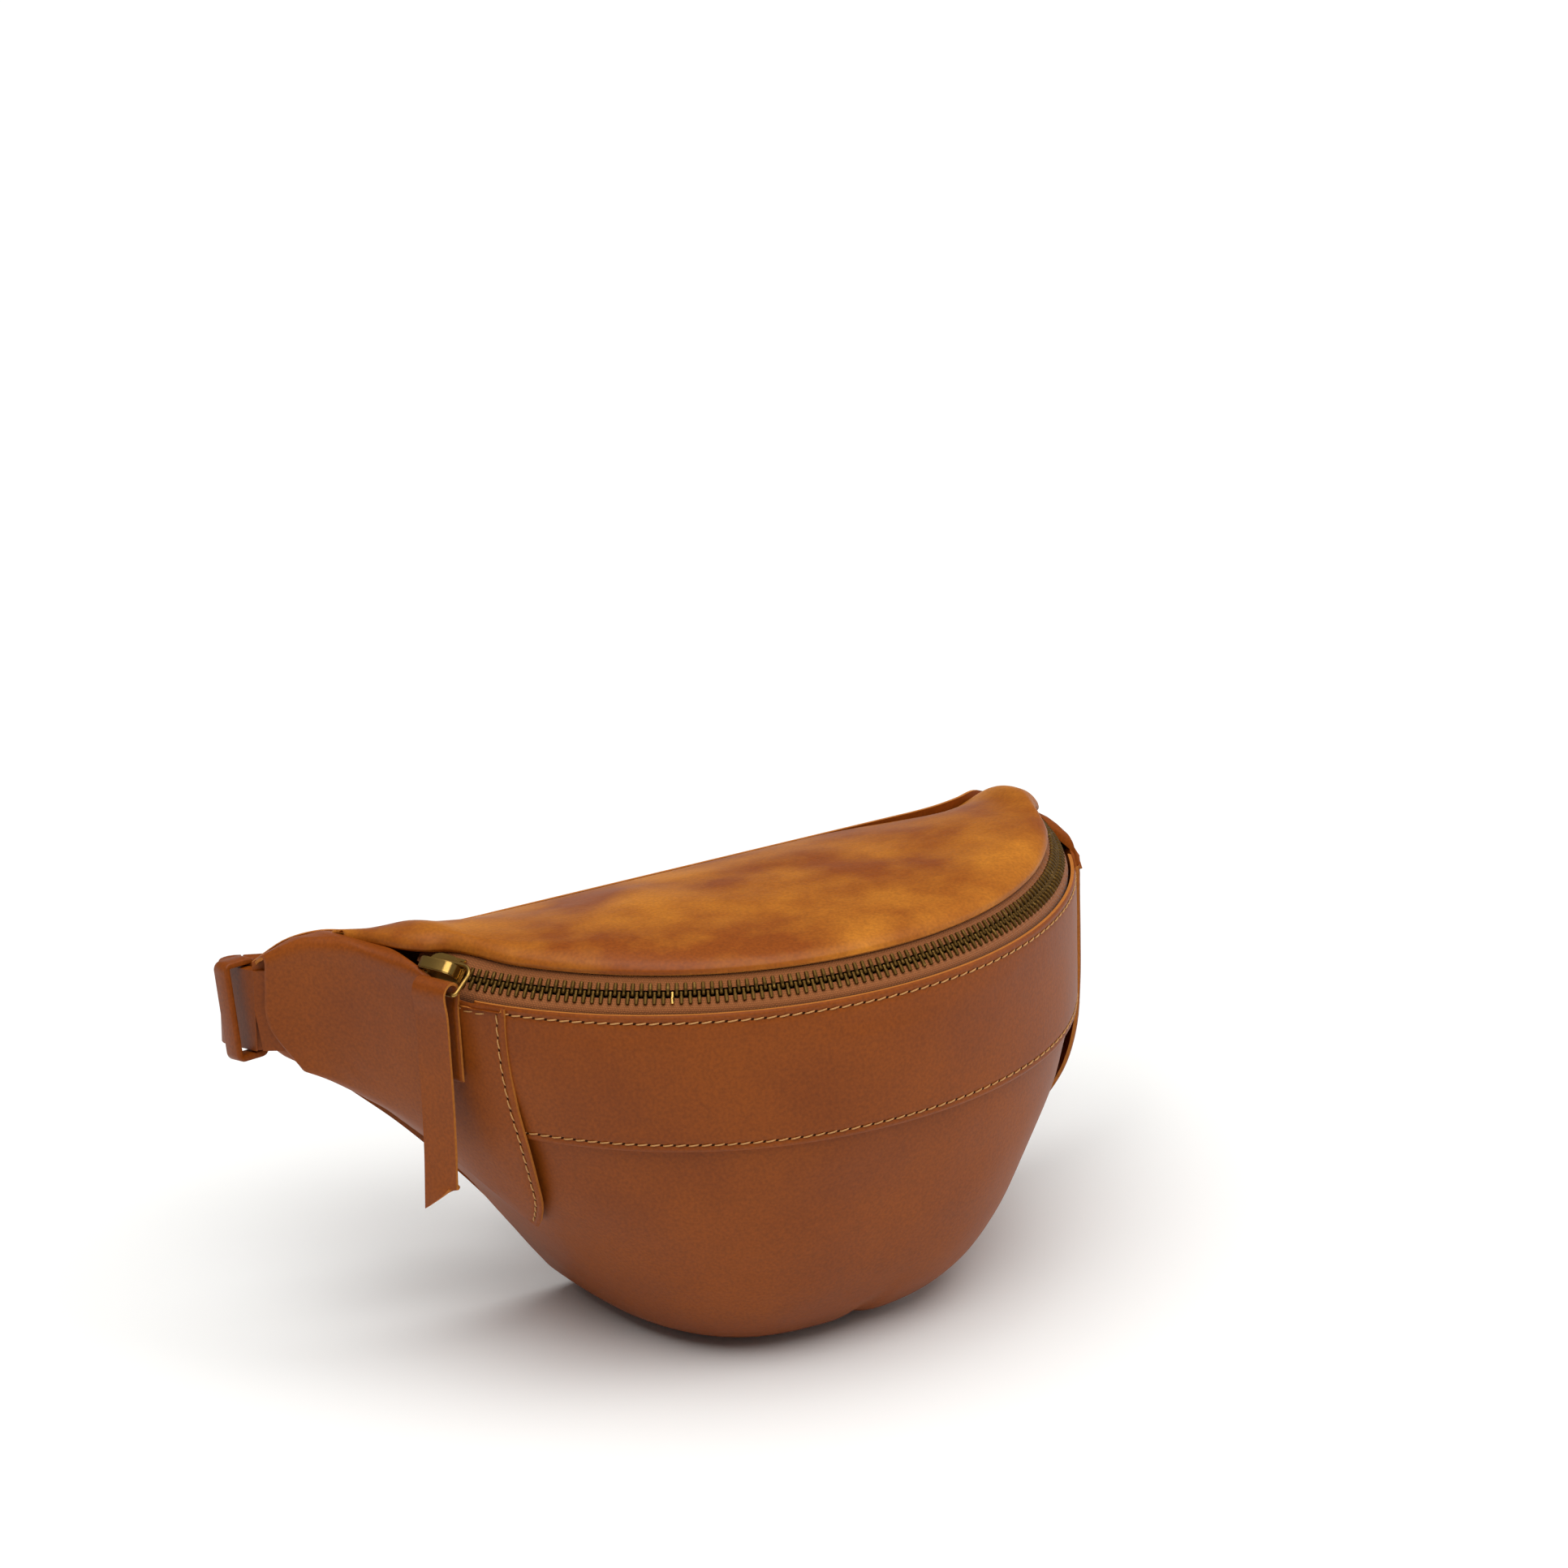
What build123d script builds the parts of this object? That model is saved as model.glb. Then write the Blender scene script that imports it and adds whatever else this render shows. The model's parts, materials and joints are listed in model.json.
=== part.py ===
from build123d import *
import os
from math import sin, cos, tan, radians, degrees, pi, sqrt, hypot, dist

os.makedirs("parts", exist_ok=True)

# Waist pack, millimetres. X right, the front faces -Y, +Z up, floor at z = 0.
# The shapes are drawn about the centre of the zip's arc; the nodes are written about the resting face.
ORIGIN_Y = 45.0        # the resting face is this far in front of the arc centre
ZIP_Z = 118.0          # height of the zip's plane above the floor, over the arc centre
ZIP_TILT = 4.0         # the zip's plane rises towards the front, degrees
ZIP_R = 107.7          # radius of the zip's centre line
ZIP_LEAN = 40.0        # how far the zip faces upwards, degrees
ZIP_END = 75.5         # half the arc that the chain covers, degrees
LEATHER = 1.4          # leather thickness
LAP = 1.6              # step from one leather layer to the next
LINING = 0.5           # lining cloth thickness
TAPE = 0.6             # zip tape thickness
TOOTH_PITCH = 2.45     # pitch of the teeth on one tape
BACK_TOP = -5.0        # y of the back panel's outer face at the top
BACK_LOW = -12.0       # y of the back panel's outer face at the floor
SEAM_X = 90.0          # the wings' front edges lie at x = +-SEAM_X
STRAP_W = 25.0         # strap width
STRAP_T = 3.0          # strap thickness, two layers sewn together
BAND_LOW = -43.0       # lower edge of the front band, below the zip's plane
FLEX_L = 18.0          # straight length of each strap stub beyond the wing's tip
BEND_R = 8.0           # centre radius of a strap's bend
LEFT_RUN = 100.0       # rigid length of the buckle strap
RIGHT_RUN = 165.0      # rigid length of the long strap's first pass
TAIL_RUN = 150.0       # rigid length of its folded tail

# Outline of the pack at levels below the zip's plane:
# level, half width left, half width right, depth in front of the arc centre, squareness
LEVELS = [
    (-4.0, 113.2, 113.2, 113.2, 2.0),
    (-13.0, 113.7, 113.7, 114.2, 2.0),
    (-26.0, 113.4, 113.8, 114.9, 2.0),
    (-43.0, 107.5, 112.0, 114.6, 2.1),
    (-62.0, 96.0, 102.0, 111.5, 2.3),
    (-80.0, 82.0, 89.0, 107.0, 2.5),
    (-95.0, 71.0, 79.0, 100.5, 2.7),
    (-107.0, 62.0, 69.5, 92.0, 2.85),
    (-114.5, 54.5, 60.0, 84.0, 2.9),
    (-118.0, 45.0, 50.0, 75.0, 3.0),
]


def save(node, shape):
    """Write one node as parts/NODE.step, about the middle of the resting face."""
    export_step(Pos(0, ORIGIN_Y, 0) * shape, f"parts/{node}.step")


def tilt_share(level):
    """The zip's tilt fades out towards the floor."""
    return max(0.0, 1.0 + level / ZIP_Z)


def rho(beta, row):
    """Distance from the arc centre to the outline at an angle from the front."""
    level, left, right, front, power = row
    wide = left if beta < 0 else right
    s, c = abs(sin(radians(beta))), abs(cos(radians(beta)))
    return ((s / wide) ** power + (c / front) ** power) ** (-1.0 / power)


def profile(beta, offset=0.0, first=0, top_extra=0.0):
    """Points (distance out, height) of the wall in the vertical plane at angle beta."""
    pts = []
    for row in LEVELS[first:]:
        r = rho(beta, row)
        lift = tan(radians(ZIP_TILT)) * r * cos(radians(beta)) * tilt_share(row[0])
        pts.append((r, ZIP_Z + row[0] + lift))
    return shift(pts, offset)


def shift(pts, offset):
    """Move a profile along its own outward normal; the floor end moves straight up or down."""
    out = []
    last = len(pts) - 1
    for i, (r, z) in enumerate(pts):
        a, b = pts[max(0, i - 1)], pts[min(last, i + 1)]
        dr, dz = b[0] - a[0], b[1] - a[1]
        length = hypot(dr, dz)
        nr, nz = -dz / length, dr / length
        out.append((r + nr * offset, z + nz * offset))
    return out


def wall_face(beta, outer, inner, floor_end):
    """Closed strip between two profiles in the radial plane at angle beta."""
    s, c = sin(radians(beta)), cos(radians(beta))
    a = [Vector(r * s, -r * c, z) for r, z in outer]
    b = [Vector(r * s, -r * c, z) for r, z in inner]
    edges = [Spline(*a)]
    if floor_end is not None:
        ea = Vector(floor_end * s, -floor_end * c, outer[-1][1])
        eb = Vector(floor_end * s, -floor_end * c, inner[-1][1])
        edges += [Line(a[-1], ea), Line(ea, eb), Line(eb, b[-1])]
    else:
        edges += [Line(a[-1], b[-1])]
    edges += [Spline(*reversed(b)), Line(b[0], a[0])]
    return Face(Wire(edges))


def wall(offset, thick, floor, half=88.0, steps=16, first=0, floor_end=12.0):
    """Wall that follows the pack's front, from the zip down and under to a floor at a given height."""
    faces = []
    for i in range(steps + 1):
        beta = -half + 2 * half * i / steps
        pts = profile(beta, 0.0, first)
        outer = shift(pts, offset)
        inner = shift(pts, offset - thick)
        outer[-1] = (outer[-1][0], floor)
        inner[-1] = (inner[-1][0], floor + thick)
        faces.append(wall_face(beta, outer, inner, floor_end))
    return loft(faces)


def back_y(x, z):
    """Outer face of the back panel: flat behind the pack, swept back towards the tips."""
    lean = BACK_TOP + (BACK_LOW - BACK_TOP) * max(0.0, 1.0 - z / 120.0)
    s = max(0.0, min(1.2, (abs(x) - 80.0) / 54.0))
    return lean + 22.5 * s ** 1.35


def level_z(y, level):
    """Height of a level in the zip's tilted system."""
    return ZIP_Z + level - tan(radians(ZIP_TILT)) * y * tilt_share(level)


def interp(x, table):
    """Straight-line lookup in a list of (x, value)."""
    for (xa, va), (xb, vb) in zip(table, table[1:]):
        if x <= xb:
            return va + (vb - va) * (x - xa) / (xb - xa)
    return table[-1][1]


# Edges of the back panel seen from behind, above the floor: (distance from the middle, height).
TOP_LEFT = [(0.0, 120.5), (85.0, 120.5), (104.0, 120.5), (118.0, 121.0), (126.0, 118.5), (134.5, 112.0)]
LOW_LEFT = [(0.0, 1.6), (30.0, 1.6), (43.0, 3.5), (53.0, 9.0), (62.0, 17.5), (71.0, 28.0), (82.0, 41.5),
            (97.0, 58.5), (106.0, 67.0), (118.0, 75.5), (128.0, 80.0), (134.5, 82.0)]
TOP_RIGHT = [(0.0, 120.5), (85.0, 120.5), (104.0, 119.5), (118.0, 108.0), (126.0, 100.0), (134.5, 90.0)]
LOW_RIGHT = [(0.0, 1.6), (30.0, 1.6), (46.0, 3.5), (57.0, 9.0), (68.0, 17.5), (78.0, 28.0), (88.0, 39.5),
             (100.0, 51.0), (108.0, 55.5), (118.0, 58.0), (128.0, 59.5), (134.5, 60.0)]


def back_edge(x, top):
    table = (TOP_LEFT if top else LOW_LEFT) if x < 0 else (TOP_RIGHT if top else LOW_RIGHT)
    return interp(abs(x), table)


def half_space(y_max, grow=0.0):
    """Everything in front of the leaning back sheet."""
    pts = [(-200, -10), (y_at(-10) + y_max, -10), (y_at(160) + y_max, 160), (-200, 160)]
    outline = Polyline(*[Vector(0, y, z) for y, z in pts], close=True)
    return extrude(Face(Wire(outline.edges())), amount=200 + grow, dir=(1, 0, 0), both=True)


def y_at(z):
    return BACK_TOP + (BACK_LOW - BACK_TOP) * (1.0 - z / 120.0)


def slab(x0, x1, y0, y1, z0, z1):
    """Block between corners."""
    return Pos((x0 + x1) / 2, (y0 + y1) / 2, (z0 + z1) / 2) * Box(x1 - x0, y1 - y0, z1 - z0)



def sheet(grid, depth):
    """Leather or cloth sheet: a smooth surface through a grid of points, thickened along its normal."""
    surface = Face.make_surface_from_array_of_points([[Vector(*p) for p in row] for row in grid], tol=0.02)
    return Solid.thicken(surface, depth)


def sheet_towards(grid, depth, target):
    """The same sheet, thickened on the side that faces the target point."""
    a = sheet(grid, depth)
    b = sheet(grid, -depth)
    t = Vector(*target)
    return a if (a.center() - t).length < (b.center() - t).length else b


def spread(lo, hi, count):
    """Evenly spaced values, both ends included."""
    return [lo + (hi - lo) * i / (count - 1) for i in range(count)]


def strip_wall(offset, thick, half, steps, rows):
    """Upright band of leather that follows the pack's front between two levels."""
    faces = []
    for beta in spread(-half, half, steps + 1):
        pts = []
        for row in rows:
            r = rho(beta, row)
            lift = tan(radians(ZIP_TILT)) * r * cos(radians(beta)) * tilt_share(row[0])
            pts.append((r, ZIP_Z + row[0] + lift))
        faces.append(wall_face(beta, shift(pts, offset), shift(pts, offset - thick), None))
    return loft(faces)


# ---------------------------------------------------------------- leather body
FRONT_CLIP = half_space(-LEATHER - 0.2)

front = wall(-LAP, LEATHER, floor=-0.05, first=2)
front = front & FRONT_CLIP & slab(-SEAM_X - 5, SEAM_X + 5, -200, 50, 0, 200)

band_rows = [row for row in LEVELS if row[0] >= BAND_LOW]
band = strip_wall(0.0, LEATHER, 62.0, 12, band_rows) & slab(-SEAM_X - 4, SEAM_X + 4, -200, 50, 0, 200)

# Back panel: flat behind the pack, swept back at both tips.
back_grid = []
for x in spread(-134.5, 134.5, 33):
    lo, hi = back_edge(x, False), back_edge(x, True)
    back_grid.append([(x, back_y(x, z), z) for z in spread(lo, hi, 7)])
back = sheet_towards(back_grid, LEATHER, (0, -300, 60))


def outline_y(x, level, offset):
    """Depth of the outline, let out by offset, at a distance from the middle."""
    for upper, lower in zip(LEVELS, LEVELS[1:]):
        if lower[0] <= level:
            break
    t = (level - upper[0]) / (lower[0] - upper[0])
    row = [a + (b - a) * t for a, b in zip(upper, lower)]
    wide = (row[1] if x < 0 else row[2]) + offset
    ratio = min(1.0, abs(x) / wide)
    return -(row[3] + offset) * (1.0 - ratio ** row[4]) ** (1.0 / row[4])


# Plan curves of the wing's outer face: (distance from the middle, y) at its top and lower edges.
WING_TOP = [(84.0, -78.0), (89.0, -72.0), (96.0, -63.0), (103.0, -50.5), (108.0, -39.5), (112.0, -28.0),
            (117.0, -14.5), (123.0, -3.0), (129.0, 4.5), (134.5, 10.0)]
WING_LOW = [(84.0, -16.2), (89.0, -14.0), (96.0, -11.0), (103.0, -8.0), (108.0, -5.0), (112.0, -2.5),
            (117.0, 0.5), (123.0, 4.0), (129.0, 7.5), (134.5, 10.5)]


def wing_top_z(x):
    """The wing's top edge: under the zip in front, above it behind the zip's end."""
    d = abs(x)
    y = interp(d, WING_TOP)
    under = level_z(y, -4.0)
    rise = max(0.0, min(1.0, (d - 106.0) / 5.0))
    over = min(level_z(y, 4.5), back_edge(x, True) + 2.0)
    return under + (over - under) * rise


def eased(curve, d, reach=4.0):
    """Weighted mean of a curve around d, which rounds the corners of a straight-line table."""
    total = sum((4 - abs(k)) * curve(d + reach * k / 3.0) for k in range(-3, 4))
    return total / 16.0


def even(points, count):
    """The same line through count points that lie evenly along it."""
    runs = [0.0]
    for p, q in zip(points, points[1:]):
        runs.append(runs[-1] + dist(p, q))
    axes = [list(zip(runs, values)) for values in zip(*points)]
    return [tuple(interp(s, table) for table in axes) for s in spread(0.0, runs[-1], count)]


def wing_grid(side):
    """Points of a wing's outer face, from its front seam to the tip."""
    grid = []
    for d in spread(89.0, 134.5, 14):
        z_top = eased(lambda v: wing_top_z(side * v), d)
        z_low = eased(lambda v: back_edge(side * v, False), d) + 1.0
        y_top = eased(lambda v: interp(v, WING_TOP), d)
        y_low = eased(lambda v: interp(v, WING_LOW), d)
        blend = max(0.0, min(1.0, (d - 96.0) / 38.0))
        blend = blend * blend * (3.0 - 2.0 * blend)
        row = []
        for u in spread(0.0, 1.0, 101):
            full = (1.0 - u ** 4) ** 0.45 + 0.16 * u * (1.0 - u)
            g = (1.0 - blend) * full + blend * (1.0 - u)
            row.append((side * d, y_low + (y_top - y_low) * g, z_top + (z_low - z_top) * u))
        grid.append(even(row, 11))
    return grid


wings = {}
for name, side in (("left_wing", -1), ("right_wing", 1)):
    wings[name] = sheet_towards(wing_grid(side), LEATHER, (0, 60, 60))

# Top panel: a domed, padded lid of leather that narrows to a horn behind each end of the zip.
TOP_EDGE_W = 5.4
TOP_EDGE_R = ZIP_R - TOP_EDGE_W * sin(radians(ZIP_LEAN)) + 1.8 * cos(radians(ZIP_LEAN))
TOP_EDGE_Z = TOP_EDGE_W * cos(radians(ZIP_LEAN)) + 1.8 * sin(radians(ZIP_LEAN))
DOME = [(0.0, 0.0), (0.03, 1.9), (0.08, 3.2), (0.16, 4.2), (0.32, 4.4), (0.5, 3.9), (0.68, 2.6), (0.85, 0.4),
        (0.94, -1.5), (1.0, -2.9)]
HORN = [(101.0, -31.0), (104.0, -24.0), (108.0, -18.5), (112.0, -12.5), (116.0, -7.0)]
top_grid = []
for x in [-116.0, -112.0, -108.0, -104.0] + spread(-100.0, 100.0, 21) + [104.0, 108.0, 112.0, 116.0]:
    d = abs(x)
    y_front = -sqrt(TOP_EDGE_R ** 2 - d * d) if d <= 100.5 else interp(d, HORN)
    y_rear = back_y(x, 119.0) - LEATHER - 0.4
    fade = max(0.0, min(1.0, (d - 100.0) / 16.0))
    droop = 0.0 if x < 0 else max(0.0, d - 102.0) * 0.75
    row = []
    for s, h in DOME:
        y = y_front + (y_rear - y_front) * s
        row.append((x, y, level_z(y, TOP_EDGE_Z + h * (1.0 - 0.45 * fade)) - 1.5 * fade - droop))
    top_grid.append(row)
top = sheet_towards(top_grid, LEATHER, (0, -50, -200))

# Lining: a cloth bag a little inside the leather.
lining = wall(-LAP - LEATHER - 0.5, LINING, floor=LEATHER + 0.5, first=1)
lining = lining & half_space(-LEATHER - LINING - 0.7) & slab(-100, 100, -200, 50, -5, 200)
lining_back_grid = []
for x in spread(-84.0, 84.0, 15):
    lo = max(back_edge(x, False), back_edge(-x, False)) + 3.5
    lining_back_grid.append([(x, y_at(z) - LEATHER - 0.3, z) for z in spread(lo, 117.0, 7)])
lining_back = sheet_towards(lining_back_grid, LINING, (0, -300, 60))

# ---------------------------------------------------------------- zip
ZIP_FRAME = Pos(0, 0, ZIP_Z) * Rot(-ZIP_TILT, 0, 0)


def zip_point(beta, along=0.0, across=0.0, out=0.0):
    """Point near the chain in the zip's own level frame."""
    b, g = radians(beta), radians(ZIP_LEAN)
    r = ZIP_R - across * sin(g) + out * cos(g)
    z = across * cos(g) + out * sin(g)
    return Vector(r * sin(b) + along * cos(b), -r * cos(b) + along * sin(b), z)


def zip_plane(beta):
    """Frame on the chain: X along it to the right, Y across it upwards, Z out of it."""
    b, g = radians(beta), radians(ZIP_LEAN)
    return Plane(origin=zip_point(beta), x_dir=(cos(b), sin(b), 0), z_dir=(sin(b) * cos(g), -cos(b) * cos(g), sin(g)))


def tape(points):
    """Strip of zip tape: its section swept round the zip's arc."""
    pts = [zip_point(0, 0, a, o) for a, o in points]
    outline = Polyline(*[Vector(-p.Y, 0, p.Z) for p in pts], close=True)
    ring = revolve(Face(Wire(outline.edges())), axis=Axis.Z, revolution_arc=2 * ZIP_END + 1.5)
    return ZIP_FRAME * (Rot(0, 0, -90 - ZIP_END - 0.75) * ring)


HALF_TAPE = TAPE / 2
upper_tape = tape([(1.65, HALF_TAPE), (6.0, HALF_TAPE), (10.0, -1.2), (10.0, -1.2 - TAPE), (6.0, -HALF_TAPE),
                   (1.65, -HALF_TAPE)])
lower_tape = tape([(-1.65, HALF_TAPE), (-4.8, HALF_TAPE), (-8.4, -2.9), (-8.0, -3.4), (-4.6, -HALF_TAPE),
                   (-1.65, -HALF_TAPE)])


def teeth(sign, shift_share):
    """Row of metal teeth clamped on the tape's edge."""
    step = degrees(TOOTH_PITCH / ZIP_R)
    count = int(2 * (ZIP_END - 2.2) / step)
    tooth = Pos(0, sign * 1.85, 0) * Box(1.15, 2.3, 2.6) - Pos(0, sign * 2.4, 0) * Box(2, 1.6, TAPE + 0.1)
    start = -step * count / 2 + shift_share * step
    return Compound([ZIP_FRAME * (zip_plane(start + i * step).location * tooth) for i in range(count)])


upper_teeth = teeth(1, 0.0)
lower_teeth = teeth(-1, 0.5)

stops = []
for beta, wide in ((-ZIP_END + 1.2, 2.2), (ZIP_END - 1.2, 3.0)):
    for sign in (-1, 1):
        block = Pos(0, sign * 2.0, 0) * Box(wide, 2.4, 2.8) - Pos(0, sign * 2.5, 0) * Box(6, 1.9, TAPE + 0.1)
        stops.append(ZIP_FRAME * (zip_plane(beta).location * block))
zip_stops = Compound(stops)

# Slider at the closed end, with its bridge, the pull ring and the leather pull.
SLIDER_BETA = -69.3
slider_at = ZIP_FRAME * zip_plane(SLIDER_BETA).location


def plate(z):
    blank = Pos(0, 0, z) * Box(14.0, 9.8, 1.2)
    return fillet(blank.edges().filter_by(Axis.Z), 2.2)


slider = plate(2.35) + plate(-2.35)
for sign in (-1, 1):
    for low in (0.75, -1.8):
        slider += Pos(0, sign * 4.3, low + 0.525) * Box(10.5, 1.1, 1.05)
slider += Pos(-4.6, 0, 0) * Box(3.4, 0.6, 4.4)
arch = extrude(Face(Wire(Polyline((-6.3, 0, 2.9), (-6.3, 0, 6.6), (-5.2, 0, 7.9), (4.6, 0, 7.9), (6.2, 0, 6.6),
                                  (6.2, 0, 2.9), (4.7, 0, 2.9), (4.7, 0, 6.2), (-4.9, 0, 6.2), (-4.9, 0, 2.9),
                                  close=True).edges())), amount=1.6, dir=(0, 1, 0), both=True)
slider = slider_at * (slider + arch)

RING_PIVOT = (-3.5, 0.0, 4.6)
RING_WIRE = 0.6
RING_TILT = 17.0
ring_at = slider_at * (Pos(*RING_PIVOT) * Rot(-RING_TILT, 0, 0))
ring_blank = Pos(0, -7.6, 0) * Rectangle(14.0, 10.2, align=(Align.MIN, Align.MIN))
ring_path = fillet(ring_blank.vertices().sort_by(Axis.Y)[:2], 1.0)
ring_path = fillet(ring_path.vertices().sort_by(Axis.Y)[-2:], 3.6)
ring_wire = ring_path.wire()
ring_start = ring_wire @ 0
ring_dir = ring_wire % 0
ring = sweep(Plane(origin=ring_start, z_dir=ring_dir) * Circle(RING_WIRE), path=ring_wire)
ring = ring_at * ring

# The pull hangs straight down from the ring's lower side.
hang = ring_at * Pos(7.0, -7.6, 0)
hang_point = hang.position
PULL_AXIS = (ring_at * Pos(1, 0, 0)).position - ring_at.position
upward = Vector(0, 0, 1) - PULL_AXIS * PULL_AXIS.Z
pull_frame = Plane(origin=hang_point, x_dir=PULL_AXIS, z_dir=upward).location
pull_section = Circle(2.3) - Circle(0.9)
loop = extrude(Plane.YZ * pull_section, amount=5.8, both=True)
blade = Polyline((-5.8, 0, -1.2), (5.8, 0, -1.2), (5.8, 0, -61.0), (-0.9, 0, -69.0), (-5.8, 0, -64.5),
                 close=True)
blade = extrude(Face(Wire(blade.edges())), amount=1.4, dir=(0, 1, 0), both=True)
hole = extrude(Plane.YZ * Circle(0.9), amount=8, both=True)
pull = pull_frame * ((loop + blade) - hole)


# ---------------------------------------------------------------- straps
def upright(point, heading, slope):
    """Frame of a strap: X along it, Z across its width, Y through its thickness."""
    h = Vector(heading[0], heading[1], 0).normalized()
    along = Vector(h.X, h.Y, -slope).normalized()
    side = Vector(-h.Y, h.X, 0)
    return Plane(origin=point, x_dir=along, z_dir=along.cross(side)).location


def strap_face(point, heading, width=STRAP_W, thick=STRAP_T):
    """Upright section of a strap, square to its level heading."""
    h = Vector(heading[0], heading[1], 0).normalized()
    return Plane(origin=point, x_dir=(-h.Y, h.X, 0), z_dir=h) * Rectangle(thick, width)


class StrapEnd:
    """Plan of a strap that leaves a wing's tip, bends round a vertical axis and lies behind the pack."""

    def __init__(self, side, tip_z, run_heading, run_slope):
        self.side = side
        self.out = Vector(side * 0.10, 0.995, 0).normalized()
        self.tip = Vector(side * 133.5, 13.4, tip_z)
        self.slope = 0.22
        self.end = self.tip + self.out * FLEX_L - Vector(0, 0, self.slope * FLEX_L)
        self.inward = Vector(-side * self.out.Y, side * self.out.X, 0)
        self.centre = self.end + self.inward * BEND_R
        self.run = Vector(side * run_heading[0], run_heading[1], 0).normalized()
        self.run_slope = run_slope
        self.turn = degrees(self.out.get_signed_angle(self.run, Vector(0, 0, 1)) * pi / 180.0)

    def arc_point(self, share):
        """Point of the bend and its heading; share 0 is the stub's end, 1 is the run's start."""
        a = radians(self.turn * share)
        arm = self.end - self.centre
        arm = Vector(arm.X, arm.Y, 0)
        spun = Vector(arm.X * cos(a) - arm.Y * sin(a), arm.X * sin(a) + arm.Y * cos(a), 0)
        head = Vector(self.out.X * cos(a) - self.out.Y * sin(a), self.out.X * sin(a) + self.out.Y * cos(a), 0)
        drop = self.slope * BEND_R * abs(a)
        return Vector(self.centre.X + spun.X, self.centre.Y + spun.Y, self.end.Z - drop), head


def strap_tab(end):
    """Stub of a strap, sewn between the wing and the back panel and running on past the tip."""
    side = end.side
    inner = Vector(side * 122.0, 7.2, end.tip.Z + 1.5)
    lead = end.tip - inner
    faces = [strap_face(inner, (lead.X, lead.Y)), strap_face(inner + lead * 0.6, (lead.X, lead.Y)),
             strap_face(end.tip + end.out * 2 - Vector(0, 0, 0.4), (end.out.X, end.out.Y)),
             strap_face(end.end, (end.out.X, end.out.Y))]
    return loft(faces, ruled=True)


def strap_bend(end):
    """The part of the strap that flexes."""
    faces = []
    for i in range(9):
        p, h = end.arc_point(0.02 + 0.95 * i / 8)
        faces.append(strap_face(p, (h.X, h.Y)))
    return loft(faces, ruled=True)


left = StrapEnd(-1, 97.5, (-0.985, -0.17), 0.10)
right = StrapEnd(1, 74.5, (-0.990, -0.12), 0.20)
left_tab, right_tab = strap_tab(left), strap_tab(right)
left_bend, right_bend = strap_bend(left), strap_bend(right)


def run_frame(end):
    """Frame at the start of the rigid run."""
    p, _ = end.arc_point(1.0)
    return upright(p, (end.run.X, end.run.Y), end.run_slope)


left_at, right_at = run_frame(left), run_frame(right)
BAR_R = 1.5
FRAME_IN = STRAP_W + 1.6

def run_start(end):
    """Room in front of a run, so that its first edge stands upright against the bend."""
    p, _ = end.arc_point(1.0)
    return upright(p, (end.run.X, end.run.Y), 0.0) * Pos(-10, 0, 0) * Box(20, 20, 60)


left_strap = Pos(LEFT_RUN / 2 - 3, 0, 0) * Box(LEFT_RUN + 6, STRAP_T, STRAP_W)
end_loop = Cylinder(BAR_R + 2.0, STRAP_W) - Cylinder(BAR_R + 0.3, STRAP_W + 1)
left_strap += Pos(LEFT_RUN + 2.5, 0, 0) * end_loop
left_strap -= Pos(LEFT_RUN + 2.5, 0, 0) * Cylinder(BAR_R + 0.3, STRAP_W + 1)
left_strap -= Pos(LEFT_RUN + 2.5, 0, 0) * Box(18, 12, 5.5)
left_strap = left_at * left_strap - run_start(left)

# Sewn keeper beside the buckle, and the loose keeper on the stub.
def keeper(inner_w, inner_t, wall_t, length):
    """Closed leather loop round the strap."""
    outer = Box(length, inner_t + 2 * wall_t, inner_w + 2 * wall_t)
    outer = fillet(outer.edges().filter_by(Axis.X), wall_t + 0.8)
    return outer - Box(length + 2, inner_t, inner_w)


buckle_keeper = left_at * (Pos(LEFT_RUN - 24, -1.0, 0) * keeper(STRAP_W + 0.8, 6.8, 1.8, 9.0))

FRAME_LONG = 24.0
frame_outer = fillet(Rectangle(FRAME_LONG, FRAME_IN + 3.0).vertices(), 1.9)
frame_path = (Pos(FRAME_LONG / 2, 0, 0) * frame_outer).wire()
frame = sweep(Plane(origin=frame_path @ 0, z_dir=frame_path % 0) * Circle(BAR_R), path=frame_path)
bar_at = left_at * (Pos(LEFT_RUN + 2.5, 0, 0) * Rot(-90, 0, 0))
buckle = bar_at * frame

prong_eye = extrude(Circle(BAR_R + 1.5) - Circle(BAR_R + 0.25), amount=2.0, both=True)
prong = Rot(90, 0, 0) * prong_eye
prong += Pos(12.6, 0, 2.45) * Box(24.8, 3.0, 1.6)
prong -= Rot(90, 0, 0) * Cylinder(BAR_R + 0.25, 8)
prong = bar_at * prong

right_strap = right_at * (Pos(RIGHT_RUN / 2 - 3, 0, 0) * Box(RIGHT_RUN + 6, STRAP_T, STRAP_W)) - run_start(right)
FOLD_R = 4.5
fold = extrude(Plane.XY * (Circle(FOLD_R + STRAP_T / 2) - Circle(FOLD_R - STRAP_T / 2)), amount=STRAP_W / 2,
               both=True)
fold = fold & (Pos(FOLD_R * 2 + 0.1, 0, 0) * Box(FOLD_R * 4, 60, 60))
right_fold = right_at * (Pos(RIGHT_RUN + 0.1, -FOLD_R, 0) * fold)
tail = Pos(-TAIL_RUN / 2, 0, 0) * Box(TAIL_RUN, STRAP_T, STRAP_W)
for i in range(6):
    tail -= Pos(-TAIL_RUN + 22 + 18 * i, 0, 0) * Rot(90, 0, 0) * Cylinder(2.0, 10)
for sign in (-1, 1):
    tail -= Pos(-TAIL_RUN, 0, sign * STRAP_W / 2) * Rot(0, sign * 40, 0) * Box(16, 8, 9)
right_tail = right_at * (Pos(RIGHT_RUN, -2 * FOLD_R, 0) * tail)

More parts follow.
